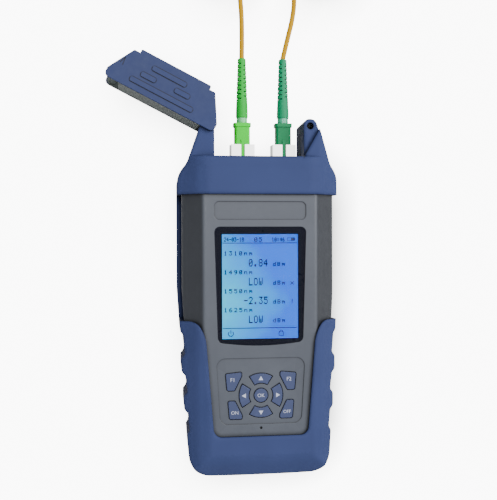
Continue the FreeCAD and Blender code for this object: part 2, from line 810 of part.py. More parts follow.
SEAT_TOP = "(ear_height + 2 * ear_round)"
SEAT = [(f"ear_inner - {SUNK}", SEAT_TOP), (f"ear_inner - {SUNK}", step_line(f"(ear_inner - {SUNK})")),
        (f"ear_foot + {PAST}", step_line(f"(ear_foot + {PAST})")), (f"ear_foot + {PAST}", SEAT_TOP)]
HINGE_SEAT = block(f"-ear_foot - {PAST}", RIM, f"{SUNK} - ear_inner", SEAT_TOP)


def across(width, low):
    """A wide rectangle from a distance up the meter to beyond the ears."""
    return block(f"-{width}", low, width, f"2 * {RIM}")


def ear_tip_edge(edge):
    """Whether an edge of the ears' inner faces lies beyond the hinge."""
    return all(abs(abs(v.X) - value("ear_inner")) < 1e-3 and v.Y > value("ear_height") for v in edge.Vertexes)


holster_form = body_on("holster_form",
                       long_form("holster_stock", HOLSTER_SECTION, HOLSTER_PLAN, HOLSTER_SIDE))
for name, low, high, outlines in (
        ("deck", f"-{PAST}", f"{FACE} - rim_wall", [across("ear_inner", DECK)]),
        ("ear_gap", f"-{PAST}", FAR_UP, [across("ear_inner", RIM)]),
        ("ear_fronts", "ear_face", FAR_UP, [across("body_width", RIM)]),
        ("ear_backs", f"-{PAST}", "ear_back", [across("body_width", DECK)])):
    prism(holster_form, name, "top", low, high, *outlines, cut=True)
round_edges(holster_form, "ear_tips", "0.85 * ear_round", ear_tip_edge)
for name, low, high, outlines in (
        ("front_window", "rail_height", FAR_UP, [FRONT_WINDOW]),
        ("back_window", f"-{PAST}", "face_height / 2", [BACK_WINDOW]),
        ("front_seats", "ear_face - seat_depth", FAR_UP, [SEAT, HINGE_SEAT]),
        ("back_seats", f"-{PAST}", "ear_back + seat_depth", [SEAT, HINGE_SEAT]),
        ("ear_bores", f"-{PAST}", FAR_UP,
         [("circle", f"{side} * ear_span / 2", "ear_height", "ear_bore") for side in (1, -1)])):
    prism(holster_form, name, "top", low, high, *outlines, cut=True)
prism(holster_form, "port_openings", "front", f"body_top - {PAST}", f"{RIM} + {PAST}",
      *ports("2 * fit_gap", "2 * fit_gap"), cut=True)
rubber_holster = keep(boolean("Cut", "rubber_holster", holster_form, case_form))

# Flip cover, drawn closed about its hinge pin and then swung open

COVER_MIDDLE = "(ear_span / 2)"
CHEEK_FRONT = "(ear_face - seat_depth + cover_gap)"
CHEEK_BACK = "(ear_back + seat_depth - cover_gap - cheek_wall)"
COVER = shifted(both_sides([
    (f"{COVER_LENGTH} / 2", "cover_rise", "cover_round"),
    (f"{COVER_LENGTH} / 2", "-cover_side", "cover_corner"),
    ("cover_base / 2", "-cover_drop", "cover_corner"),
    ("tongue_width / 2", "-cover_drop"),
    ("tongue_width / 2", "-tongue_drop", "cover_corner"),
]), COVER_MIDDLE)
CHEEK = shifted(both_sides([
    (f"{COVER_LENGTH} / 2 - cheek_inset", "cover_rise - least_round", "cover_round"),
    (f"{COVER_LENGTH} / 2 - cheek_inset", "-cover_side", "cover_corner"),
    ("cover_base / 2 - cheek_inset", "cheek_inset - cover_drop", "cover_corner"),
]), COVER_MIDDLE)
# left end, right end and distance up the closed cover of each raised bar
RIBS = (("-9.2", "12.2", "-13.5"), ("7.3", "16.5", "-7.5"),
        ("-18.7", "20.9", "-2.3"), ("-13.9", "-4.6", "-8.2"))


def cover_part(label):
    """A body of the cover, at the hinge and swung open."""
    made = keep(new_body(label))
    place(made, "-ear_span / 2", "ear_height", "0", "open_angle")
    return made


cover_frame = cover_part("cover_frame")
prism(cover_frame, "web", "top", CHEEK_BACK, f"{CHEEK_FRONT} + cheek_wall",
      shifted(block("web_gap - ear_inner", "cover_rise - web_wall",
                    "ear_inner - web_gap", "cover_rise - least_round"), COVER_MIDDLE))
prism(cover_frame, "front_cheek", "top", CHEEK_FRONT, f"{CHEEK_FRONT} + cheek_wall", CHEEK)
prism(cover_frame, "back_cheek", "top", CHEEK_BACK, f"{CHEEK_BACK} + cheek_wall", CHEEK)
prism(cover_frame, "front_pip", "top", f"{CHEEK_FRONT} - pip_rise", CHEEK_FRONT,
      ("circle", "ear_span", "0", "ear_bore - 3 * fit_gap"))
prism(cover_frame, "back_pip", "top", f"{CHEEK_BACK} + cheek_wall", f"{CHEEK_BACK} + cheek_wall + pip_rise",
      ("circle", "ear_span", "0", "ear_bore - 3 * fit_gap"))
prism(cover_frame, "pin_holes", "top", "0", FAR_UP, ("circle", "0", "0", "pin_size"), cut=True)

cover_front_plate = cover_part("cover_front_plate")
PLATE_LOW = f"({CHEEK_FRONT} + cheek_wall)"
prism(cover_front_plate, "front_sheet", "top", PLATE_LOW, f"{PLATE_LOW} + plate_wall", COVER)
round_edges(cover_front_plate, "front_sheet_edge", "cover_edge", at_level(f"{PLATE_LOW} + plate_wall"))
for number, (left, right, along) in enumerate(RIBS):
    prism(cover_front_plate, f"rib_{number}", "top", f"{PLATE_LOW} + plate_wall / 2",
          f"{PLATE_LOW} + plate_wall + rib_rise",
          shifted(block(left, f"{along} - rib_width / 2", right, f"{along} + rib_width / 2", "rib_width / 3"),
                  COVER_MIDDLE))
cover_rear_plate = cover_part("cover_rear_plate")
prism(cover_rear_plate, "back_sheet", "top", f"{CHEEK_BACK} - plate_wall", CHEEK_BACK, COVER)
round_edges(cover_rear_plate, "back_sheet_edge", "cover_edge", at_level(f"{CHEEK_BACK} - plate_wall"))

cover_hinge_pin = cover_part("cover_hinge_pin")
prism(cover_hinge_pin, "pin", "top", CHEEK_BACK, PLATE_LOW, ("circle", "0", "0", "pin_size"))

# Display

display_window = keep(new_body("display_window"))
prism(display_window, "glass", "top", GLASS_LOW, "face_height - window_sink", WINDOW)
round_edges(display_window, "glass_edge", "window_edge", at_level("face_height - window_sink"))
display_mask = keep(new_body("display_mask"))
prism(display_mask, "mask", "top", MASK_LOW, GLASS_LOW, WINDOW, LCD)
lcd_panel = keep(new_body("lcd_panel"))
prism(lcd_panel, "cell", "top", LCD_LOW, LCD_TOP, grown(LCD, "lcd_border"))
lcd_tray = keep(new_body("lcd_tray"))
prism(lcd_tray, "tray", "top", BOARD_TOP, LCD_LOW, grown(LCD, "3 * lcd_border"))

# Keys, each with a flange that holds it under the face

def key(label, shape, flange, x="0", y="0", turn="0"):
    """One key of the keypad."""
    made = keep(new_body(label))
    place(made, x, y, "0", turn)
    prism(made, f"{label}_flange", "top", KEY_LOW, f"{KEY_LOW} + key_flange", flange)
    prism(made, f"{label}_stem", "top", KEY_LOW, KEY_TOP, shape)
    round_edges(made, f"{label}_edge", "key_round", at_level(KEY_TOP))
    return made


for label, shape in (("function_key", SOFT_KEY), ("power_key", POWER_KEY)):
    key(f"{label}_right", shape, grown(shape, "key_lip"))
    key(f"{label}_left", mirrored(shape), mirrored(grown(shape, "key_lip")))
for side, turn in QUARTERS.items():
    key(f"arrow_key_{side}", arrow("0"), arrow("key_lip"), "0", "dial_height", turn)
key("ok_key", ("circle", "0", "0", "ok_size"), ("circle", "0", "0", "ok_size + 2 * key_lip"),
    "0", "dial_height")

light_pipe = keep(new_body("light_pipe"))
prism(light_pipe, "pipe_flange", "top", BOARD_TOP, f"{BOARD_TOP} + pipe_foot",
      ("circle", "0", "hole_height", "pipe_flange"))
prism(light_pipe, "pipe", "top", BOARD_TOP, "face_height - pipe_sink",
      ("circle", "0", "hole_height", "pipe_size"))

key_mat = keep(new_body("key_mat"))
prism(key_mat, "mat", "top", BOARD_TOP, MAT_TOP, centred("mat_width", "panel_foot", "mat_top", "mat_round"))

# Electronics

main_board = keep(new_body("main_board"))
prism(main_board, "board", "top", BOARD_LOW, BOARD_TOP,
      centred("board_width", "board_foot", "board_top", "board_round"), *posts("screw_size + 2 * fit_gap"))

buzzer = keep(new_body("buzzer"))
prism(buzzer, "buzzer_can", "top", f"{BOARD_LOW} - buzzer_depth", BOARD_LOW,
      ("circle", "buzzer_size", "post_foot + buzzer_size", "buzzer_size"))
prism(buzzer, "buzzer_hole", "top", f"{BOARD_LOW} - 2 * buzzer_depth", f"{BOARD_LOW} - buzzer_depth / 2",
      ("circle", "buzzer_size", "post_foot + buzzer_size", "buzzer_size / 5"), cut=True)


def box(name, x, y, z, width, length, height):
    """A plain block from its lowest corner."""
    made = doc.addObject("Part::Box", name)
    place(made, x, y, z)
    for side, text in (("Length", width), ("Width", length), ("Height", height)):
        made.setExpression(side, bound(text))
    return made


def group(label, members):
    """Several like solids in one piece of the part."""
    made = doc.addObject("Part::Compound", label)
    made.Links = members
    return keep(made, label)


group("board_chips", [
    box(f"chip_{number}", "-chip_size / 2", f"{number} * chip_pitch - chip_pitch",
        f"{BOARD_LOW} - chip_depth", "chip_size", "chip_size", "chip_depth") for number in range(3)])

OPTICS_TOP = f"({DECK} + adapter_rise - adapter_length)"
optics_block = keep(new_body("optics_block"))
prism(optics_block, "optics_body", "top", "optics_low", BOARD_LOW,
      block("optics_left", f"{OPTICS_TOP} - optics_length", "optics_right", OPTICS_TOP))
prism(optics_block, "optics_noses", "front", f"{OPTICS_TOP} - {SUNK}", f"{OPTICS_TOP} + nose_length",
      *[("circle", x, "port_height", "nose_size") for x in ("port_left", "port_right")])

# Battery bay: door, four cells and their contacts

CELL_FOOT = "(bay_foot + 2 * contact_wall + door_gap)"
battery_door = keep(new_body("battery_door"))
prism(battery_door, "door_plate", "top", "door_sink", "door_sink + door_wall",
      block(f"door_gap - {DOOR_HALF}", f"{DOOR_FOOT} + door_gap / 3", f"{DOOR_HALF} - door_gap",
            f"{DOOR_TOP} - door_gap", "door_round - door_gap"))
prism(battery_door, "catches", "top", "door_sink + door_wall / 2", f"{FLOOR} + catch_lip + door_gap",
      *[catch(y, side, "bay_wall + 2 * door_gap", "bay_wall + catch_wall + door_gap", "catch_length / 2")
        for y in CATCHES for side in (1, -1)])


def cell(number):
    """One round cell with its raised end."""
    made = keep(new_body(f"battery_cell_{number + 1}"))
    place(made, f"({number} - 1.5) * cell_pitch", f"{CELL_FOOT} + cell_length / 2",
          "bay_lift + cell_size / 2", f"{180 * (number % 2)}")
    turned(made, f"cell_{number}", "top", [
        ("0", "-cell_length / 2"), ("cell_size / 2", "-cell_length / 2", "cell_round"),
        ("cell_size / 2", "cell_length / 2 - nub_length", "cell_round"),
        ("cell_size / 5", "cell_length / 2 - nub_length"),
        ("cell_size / 5", "cell_length / 2", "nub_round"), ("0", "cell_length / 2")])


for number in range(4):
    cell(number)
group("battery_contacts", [
    box(f"contact_{number}_{end}", f"({number} - 1.5) * cell_pitch - cell_size / 3", y,
        "bay_lift + contact_margin", "2 * cell_size / 3", "contact_wall", "cell_size - 2 * contact_margin")
    for number in range(4) for end, y in (("foot", "bay_foot"), ("top", f"{BAY_TOP} - contact_wall"))])

# Ports: adapters with their sleeves, held by a plate behind the end wall

ADAPTER_FOOT = OPTICS_TOP
ADAPTER_TOP = f"({DECK} + adapter_rise)"
WALL_LEAN = f"(side_draft * ({WIDEST} - port_height + adapter_depth / 2) / {WIDEST})"
FLANGE_TOP = f"(body_top - shell_wall - {WALL_LEAN})"
for side, x in (("left", "port_left"), ("right", "port_right")):
    adapter = keep(new_body(f"adapter_{side}"))
    place(adapter, x, "0", "port_height")
    shell = centred("adapter_width", "-adapter_depth / 2", "adapter_depth / 2", "adapter_round")
    prism(adapter, f"adapter_{side}_shell", "front", ADAPTER_FOOT, ADAPTER_TOP, shell)
    prism(adapter, f"adapter_{side}_flange", "front", f"{FLANGE_TOP} - flange_wall", FLANGE_TOP,
          centred("adapter_flange", "-adapter_depth / 2", "adapter_depth / 2", "flange_round"))
    prism(adapter, f"adapter_{side}_mouth", "front", f"{ADAPTER_TOP} - adapter_mouth", f"2 * {RIM}",
          centred("mouth_width", "-mouth_depth / 2", "mouth_depth / 2"), cut=True)
    prism(adapter, f"adapter_{side}_slot", "front", f"{ADAPTER_TOP} - adapter_mouth + slot_stop",
          f"2 * {RIM}", centred("key_slot", "0", "adapter_depth"), cut=True)
    prism(adapter, f"adapter_{side}_bore", "front", "0", f"2 * {RIM}",
          ("circle", "0", "0", "sleeve_size + 2 * sleeve_gap"), cut=True)
    sleeve = keep(new_body(f"sleeve_{side}"))
    place(sleeve, x, "0", "port_height")
    prism(sleeve, f"sleeve_{side}_tube", "front", f"{ADAPTER_FOOT} + nose_length / 2",
          f"{ADAPTER_FOOT} + nose_length / 2 + sleeve_length", ("circle", "0", "0", "sleeve_size"),
          ("circle", "0", "0", "sleeve_bore"))

port_plate = keep(new_body("port_plate"))
prism(port_plate, "plate", "front", f"{FLANGE_TOP} - 2 * flange_wall", f"{FLANGE_TOP} - flange_wall",
      block("port_left - adapter_width / 2 - plate_margin", "optics_low - plate_round",
            "port_right + adapter_width / 2 + plate_margin", BOARD_LOW, "plate_round"),
      *ports("fit_gap", "fit_gap"))

# Case screws, put in from the back

def case_screw(name, x, y):
    """One socket screw, head down in its well."""
    made = new_body(name)
    place(made, x, y, "screw_seat")
    prism(made, f"{name}_head", "top", "-head_depth", "0", ("circle", "0", "0", "head_size"))
    prism(made, f"{name}_shank", "top", "-head_depth / 2", "screw_length",
          ("circle", "0", "0", "screw_size"))
    prism(made, f"{name}_socket", "top", "-2 * head_depth", "-head_depth / 2",
          ("circle", "0", "0", "socket_size"), cut=True)
    return made


group("case_screws", [
    case_screw(f"screw_{end}_{number}", f"{side} * post_{end}_x", f"post_{end}")
    for end in ("top", "foot") for number, side in enumerate((1, -1))])

# Test leads: plug, boot and cord, drawn from the middle of the grip's outer end

PLUG_END = f"({ADAPTER_TOP} + grip_shown)"
CORD_EXIT = "(tail_length + boot_length)"
FAR_Y = "(coil_y + coil_size / 2)"
SLOT_SIDES = (("-boot_size", "-slot_web"), ("slot_web", "boot_size"))


def plug_grip(label):
    """The sliding grip with its bore, collar and key ridge."""
    made = keep(new_body(label))
    prism(made, f"{label}_body", "front", "-grip_length", "0",
          centred("grip_size", "-grip_depth / 2", "grip_depth / 2", "grip_round"))
    collar_half = "(grip_depth + grip_collar - grip_size) / 2"
    prism(made, f"{label}_collar", "front", "-collar_length", "0",
          centred("grip_collar", f"-{collar_half}", collar_half, "collar_round"))
    prism(made, f"{label}_ridge", "front", "-grip_length", "ridge_length - grip_length",
          centred("ridge_width", "0", "grip_depth / 2 + ridge_rise"))
    prism(made, f"{label}_bore", "front", "-2 * grip_length", PAST,
          centred("grip_bore", "-grip_bore / 2", "grip_bore / 2"), cut=True)
    return made


def plug_frame(label):
    """The plug's square frame, with the crimp tail that the boot grips."""
    made = keep(new_body(label))
    prism(made, f"{label}_square", "front", "-grip_length - frame_nose", "0",
          centred("frame_size", "-frame_size / 2", "frame_size / 2", "frame_round"))
    prism(made, f"{label}_tail", "front", f"-{SUNK}", "tail_length", ("circle", "0", "0", "tail_size"))
    prism(made, f"{label}_bore", "front", "-2 * grip_length", "ferrule_tip + ferrule_length",
          ("circle", "0", "0", "ferrule_size"), cut=True)
    return made


def plug_ferrule(label):
    """The polished ferrule that stands out of the frame."""
    made = keep(new_body(label))
    prism(made, f"{label}_rod", "front", "ferrule_tip", "ferrule_tip + ferrule_length",
          ("circle", "0", "0", "ferrule_size"))
    round_edges(made, f"{label}_tip", "ferrule_size / 8",
                lambda edge: all(abs(v.Y - value("ferrule_tip")) < 1e-4 for v in edge.Vertexes))
    return made


def tipped_frame(label):
    """A loose plug's frame and the ferrule in it, as one piece."""
    made = plug_frame(label)
    prism(made, f"{label}_rod", "front", "ferrule_tip", "ferrule_tip + ferrule_length",
          ("circle", "0", "0", "ferrule_size"))
    return made


def plug_boot(label):
    """The tapered boot, slotted from alternate sides so that it bends."""
    made = keep(new_body(label))
    turned(made, f"{label}_cone", "top", [
        ("0", "tail_length"), ("boot_size / 2", "tail_length", "boot_edge"),
        ("boot_size / 2", "tail_length + boot_straight"), ("boot_tip / 2", CORD_EXIT, "boot_edge"),
        ("0", CORD_EXIT)])
    for side, (left, right) in enumerate(SLOT_SIDES):
        prism(made, f"{label}_slots_{side}", "top", "-boot_size", "boot_size",
              *[block(left, f"tail_length + slot_start + {number} * slot_pitch", right,
                      f"tail_length + slot_start + {number} * slot_pitch + slot_width")
                for number in range(side, int(SIZES["slot_count"]), 2)], cut=True)
    return made


def rounded_path(spots):
    """Straight runs joined by arcs that are as large as the shorter of their two runs allows."""
    points = [FreeCAD.Vector(*spot) for spot in spots]
    edges, start, radii = [], points[0], []
    for before, corner, after in zip(points, points[1:], points[2:], strict=False):
        back, ahead = (before - corner), (after - corner)
        reach = 0.45 * min(back.Length, ahead.Length)
        half_turn = (math.pi - back.getAngle(ahead)) / 2
        entry = corner + back.normalize() * reach
        leave = corner + ahead.normalize() * reach
        radius = reach / math.tan(half_turn)
        bisector = (back + ahead).normalize()
        middle = corner + bisector * (radius / math.cos(half_turn) - radius)
        edges += [Part.LineSegment(start, entry).toShape(), Part.Arc(entry, middle, leave).toShape()]
        start = leave
        radii.append(round(radius, 1))
    edges.append(Part.LineSegment(start, points[-1]).toShape())
    return Part.Wire(edges), radii


def cord_tube(label, spots):
    """A round cord along a path, checked against its length."""
    path, radii = rounded_path(spots)
    heading = path.Edges[0].tangentAt(path.Edges[0].FirstParameter)
    ring = Part.Wire(Part.makeCircle(value("cord_size") / 2, FreeCAD.Vector(*spots[0]), heading))
    made = doc.addObject("Part::Feature", label)
    made.Shape = path.makePipeShell([ring], True, False)
    section = math.pi * value("cord_size") ** 2 / 4
    share = made.Shape.Volume / (section * path.Length)
    print(f"{label}: length {path.Length:.1f} mm, volume {share:.4f} of section times length, radii {radii}")
    if abs(share - 1) > 0.01:
        raise ValueError(f"{label} isn't an even tube")
    return keep(made, label)


def coil(label, middle):
    """The outer form of a cord's coil, lying on the table."""
    made = keep(new_body(label))
    place(made, middle, "coil_y", "0")
    turned(made, f"{label}_ring", "front",
           block("(coil_size - coil_band) / 2", "0",
                 "(coil_size + coil_band) / 2", "coil_band", "coil_round"))
    return made


def height(part_of_port):
    """A share of the port's height above the table, down to the coil's level."""
    return value("coil_tail") + part_of_port * (value("port_height") - value("coil_tail"))


LEADS = {
    # side: port, coil's middle, which way the far end lies, sideways drift of each free point
    "left": ("port_left", "coil_left", -1, (0, 0.2, 0.5, 0.4, 0.3, 0.5, 0.5)),
    "right": ("port_right", "coil_right", 1, (0, 2.9, 6.9, 9.4, 8.2, 6.7, 6.7)),
}
STEPS = (0, 12, 26, 40, 54, 66.6, 72.8)  # how far each free point lies beyond the boot
FALL = (1, 0.99, 0.87, 0.6, 0.25, 0.03, 0)  # and its height, as a share of the port's
TAIL = ((0, 0.8), (0.35, 0.8), (0.65, 0), (1, 0))  # shares of the far gap, and the bow there
PLUG = (("grip", plug_grip), ("frame", plug_frame), ("ferrule", plug_ferrule), ("boot", plug_boot))
FAR_PLUG = (("grip", plug_grip), ("frame", tipped_frame), ("boot", plug_boot))
for side, (port, middle, way, drift) in LEADS.items():
    for label, make in PLUG:
        place(make(f"plug_{label}_{side}"), port, PLUG_END, "port_height")
    exit_y = value(f"{PLUG_END} + {CORD_EXIT}")
    cord_tube(f"cord_{side}", [(value(port) + bow, exit_y + step, height(share))
                               for bow, step, share in zip(drift, STEPS, FALL, strict=True)])
    coil(f"cord_coil_{side}", middle)
    cord_tube(f"cord_tail_{side}",
              [(value(middle) + way * value("far_gap") * share, value(FAR_Y) + bow, value("coil_tail"))
               for share, bow in TAIL])
    for label, make in FAR_PLUG:
        place(make(f"far_{label}_{side}"), f"{middle} + {way} * (far_gap + {CORD_EXIT})", FAR_Y,
              "coil_tail", f"{way} * 90")

# Every object is tested before anything is written

doc.recompute()
for thing in doc.Objects:
    if "Invalid" in thing.State or "Error" in thing.State:
        raise RuntimeError(f"{thing.Label} failed: {thing.State}")
os.makedirs("parts", exist_ok=True)
for thing in EXPORTED:
    if thing.Shape.isNull() or not thing.Shape.isValid() or not thing.Shape.Solids:
        raise RuntimeError(f"{thing.Label} has no sound shape")
for thing in EXPORTED:
    thing.Shape.exportStep(f"parts/{thing.Label}.step")
print(f"{len(EXPORTED)} pieces written")
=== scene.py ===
"""Looks of a handheld optical power meter that lies on its back with two test leads plugged in.

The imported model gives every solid, and this file gives each one its finish, draws the display and
the key legends, and lays the leads' cords along their routes. Lengths are in metres.
"""

import logging
import math
from dataclasses import dataclass, field
from enum import Enum

import bpy
import numpy as np
from mathutils import Matrix, Vector


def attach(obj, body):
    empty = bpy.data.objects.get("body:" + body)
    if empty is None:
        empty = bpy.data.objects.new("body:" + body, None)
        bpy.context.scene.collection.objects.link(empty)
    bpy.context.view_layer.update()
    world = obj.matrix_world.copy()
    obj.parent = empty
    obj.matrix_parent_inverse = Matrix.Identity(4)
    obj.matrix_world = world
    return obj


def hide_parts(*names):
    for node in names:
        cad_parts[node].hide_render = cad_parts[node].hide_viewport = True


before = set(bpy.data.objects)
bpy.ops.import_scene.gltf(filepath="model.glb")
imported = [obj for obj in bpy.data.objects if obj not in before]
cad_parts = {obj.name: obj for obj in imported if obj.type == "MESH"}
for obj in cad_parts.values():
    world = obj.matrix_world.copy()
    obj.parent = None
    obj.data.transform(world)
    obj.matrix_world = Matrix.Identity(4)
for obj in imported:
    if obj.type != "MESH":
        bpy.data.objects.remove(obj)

MM = 0.001
MIDDLE = (0.3, 0.7)  # the range that most of a noise falls in
CLOSED = 0.35  # the openness at which a crevice counts as closed
RAYS = 8  # rays that a crevice or a softened crease is worked out from
UNEVEN = (0.82, 1.1)  # how dark and how bright an uneven tone gets
LOG = logging.getLogger("meter")
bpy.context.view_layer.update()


Colour = tuple[float, float, float]
Span = tuple[float, float]
Material = bpy.types.Material
Socket = bpy.types.NodeSocket


class Side(Enum):
    """The two sides of the meter, with the sign of their x."""

    LEFT = -1
    RIGHT = 1


# ---------------------------------------------------------------- node trees


@dataclass
class Tree:
    """A material's node tree, with short calls for the nodes that the finishes use."""

    material: Material
    place: Socket = field(init=False)

    def __post_init__(self) -> None:
        """Clears the tree and starts it with object coordinates."""
        self.material.use_nodes = True
        self.nodes.clear()
        self.place = self.add("ShaderNodeTexCoord").outputs["Object"]

    @property
    def nodes(self) -> bpy.types.Nodes:
        """The tree's nodes."""
        return self.material.node_tree.nodes

    def add(self, kind: str, **values: object) -> bpy.types.Node:
        """Adds a node and sets its inputs by name.

        Args:
            kind: The node's class name.
            **values: Inputs, with underscores for spaces: a socket is linked, a number is set.

        Returns:
            The new node.
        """
        node = self.nodes.new(kind)
        for name, value in values.items():
            self.feed(node.inputs[name.replace("_", " ")], value)
        return node

    def feed(self, socket: Socket, value: object) -> None:
        """Links a socket to another one, or sets its number.

        Args:
            socket: The input.
            value: The socket to link, or the number, vector or colour to set.
        """
        if isinstance(value, Socket):
            self.material.node_tree.links.new(value, socket)
        else:
            socket.default_value = value

    def noise(self, size: float, detail: float = 2.0, stretch: tuple[float, float, float] = (1, 1, 1),
              rough: float = 0.5) -> Socket:
        """Smooth noise on object coordinates.

        Args:
            size: Length of one blotch, in metres.
            detail: Number of finer layers.
            stretch: How much longer the blotches are along each axis.
            rough: Weight of the finer layers.

        Returns:
            The noise, from about 0.2 to 0.8.
        """
        spot = self.place
        if stretch != (1, 1, 1):
            scale = [1 / along for along in stretch]
            spot = self.add("ShaderNodeMapping", Vector=self.place, Scale=scale).outputs[0]
        made = self.add("ShaderNodeTexNoise", Vector=spot, Scale=1 / size, Detail=detail, Roughness=rough)
        return made.outputs[0]

    def spread(self, value: object, source: Span, target: Span = (0.0, 1.0)) -> Socket:
        """Maps a number from one range to another, clamped.

        Args:
            value: The number, or the socket that gives it.
            source: The range that it comes from.
            target: The range that it goes to.

        Returns:
            The mapped number.
        """
        return self.add("ShaderNodeMapRange", Value=value, From_Min=source[0], From_Max=source[1],
                        To_Min=target[0], To_Max=target[1]).outputs[0]

    def sums(self, kind: str, one: object, two: object) -> Socket:
        """Arithmetic on two numbers.

        Args:
            kind: The operation, such as ADD or MULTIPLY.
            one: The first number, or the socket that gives it.
            two: The second.

        Returns:
            The result.
        """
        made = self.nodes.new("ShaderNodeMath")
        made.operation = kind
        self.feed(made.inputs[0], one)
        self.feed(made.inputs[1], two)
        return made.outputs[0]

    def mix(self, share: object, one: object, two: object) -> Socket:
        """Blends two colours.

        Args:
            share: The second colour's share, from 0 to 1.
            one: The first colour, or the socket that gives it.
            two: The second.

        Returns:
            The blend.
        """
        made = self.nodes.new("ShaderNodeMix")
        made.data_type = "RGBA"
        self.feed(made.inputs[0], share)
        for socket, value in ((made.inputs[6], one), (made.inputs[7], two)):
            self.feed(socket, value if isinstance(value, Socket) else (*value[:3], 1))
        return made.outputs[2]

    def axis(self, letter: str) -> Socket:
        """One of the object coordinates."""
        return self.add("ShaderNodeSeparateXYZ", Vector=self.place).outputs[letter]

    def bump(self, height: Socket, depth: float, below: object = None) -> Socket:
        """Turns a height map into a surface normal.

        Args:
            height: The height, from 0 to 1.
            depth: What a height of 1 stands for, in metres.
            below: The normal of a coarser bump, if there is one.

        Returns:
            The normal.
        """
        made = self.add("ShaderNodeBump", Height=height, Strength=1.0, Distance=depth)
        if below is not None:
            self.feed(made.inputs["Normal"], below)
        return made.outputs[0]

    def crevice(self, reach: float, open_at: float) -> Socket:
        """How open a spot is to its surroundings, from 0 in a narrow gap to 1 on a free face.

        Args:
            reach: How far off a wall still closes the spot in, in metres.
            open_at: The open share of the view that counts as free.

        Returns:
            The openness.
        """
        made = self.add("ShaderNodeAmbientOcclusion", Distance=reach)
        made.samples = RAYS
        return self.spread(made.outputs["AO"], (CLOSED, open_at))

    def upright(self, low: float, high: float) -> Socket:
        """How nearly a face looks straight up, from 0 on a slope to 1 on the flat.

        Args:
            low: The normal's Z at which a face counts as a slope.
            high: The normal's Z at which it counts as flat.

        Returns:
            The flatness.
        """
        normal = self.add("ShaderNodeTexCoord").outputs["Normal"]
        return self.spread(self.add("ShaderNodeSeparateXYZ", Vector=normal).outputs["Z"], (low, high))

    def softened(self, radius: float) -> Socket:
        """Shades every crease as if it were rounded.

        Args:
            radius: The radius of the rounding, in metres.

        Returns:
            The normal.
        """
        made = self.add("ShaderNodeBevel", Radius=radius)
        made.samples = RAYS
        return made.outputs[0]

    def finish(self, shader: bpy.types.Node) -> Material:
        """Ends the tree in a shader and returns the material."""
        self.add("ShaderNodeOutputMaterial", Surface=shader.outputs[0])
        return self.material


def linear(red: int, green: int, blue: int) -> Colour:
    """A display colour as linear light.

    The display's curve is straight near black, and a power of 2.4 with an offset above that.

    Args:
        red: The red channel, from 0 to 255.
        green: The green channel.
        blue: The blue channel.

    Returns:
        The three channels, from 0 to 1.
    """
    shares = (channel / 255 for channel in (red, green, blue))
    return tuple(c / 12.92 if c <= 0.04 else ((c + 0.055) / 1.055) ** 2.4 for c in shares)


def shaded(colour: Colour, share: float) -> Colour:
    """The colour made darker or lighter by a factor."""
    return tuple(min(1.0, c * share) for c in colour)


# ---------------------------------------------------------------- finishes


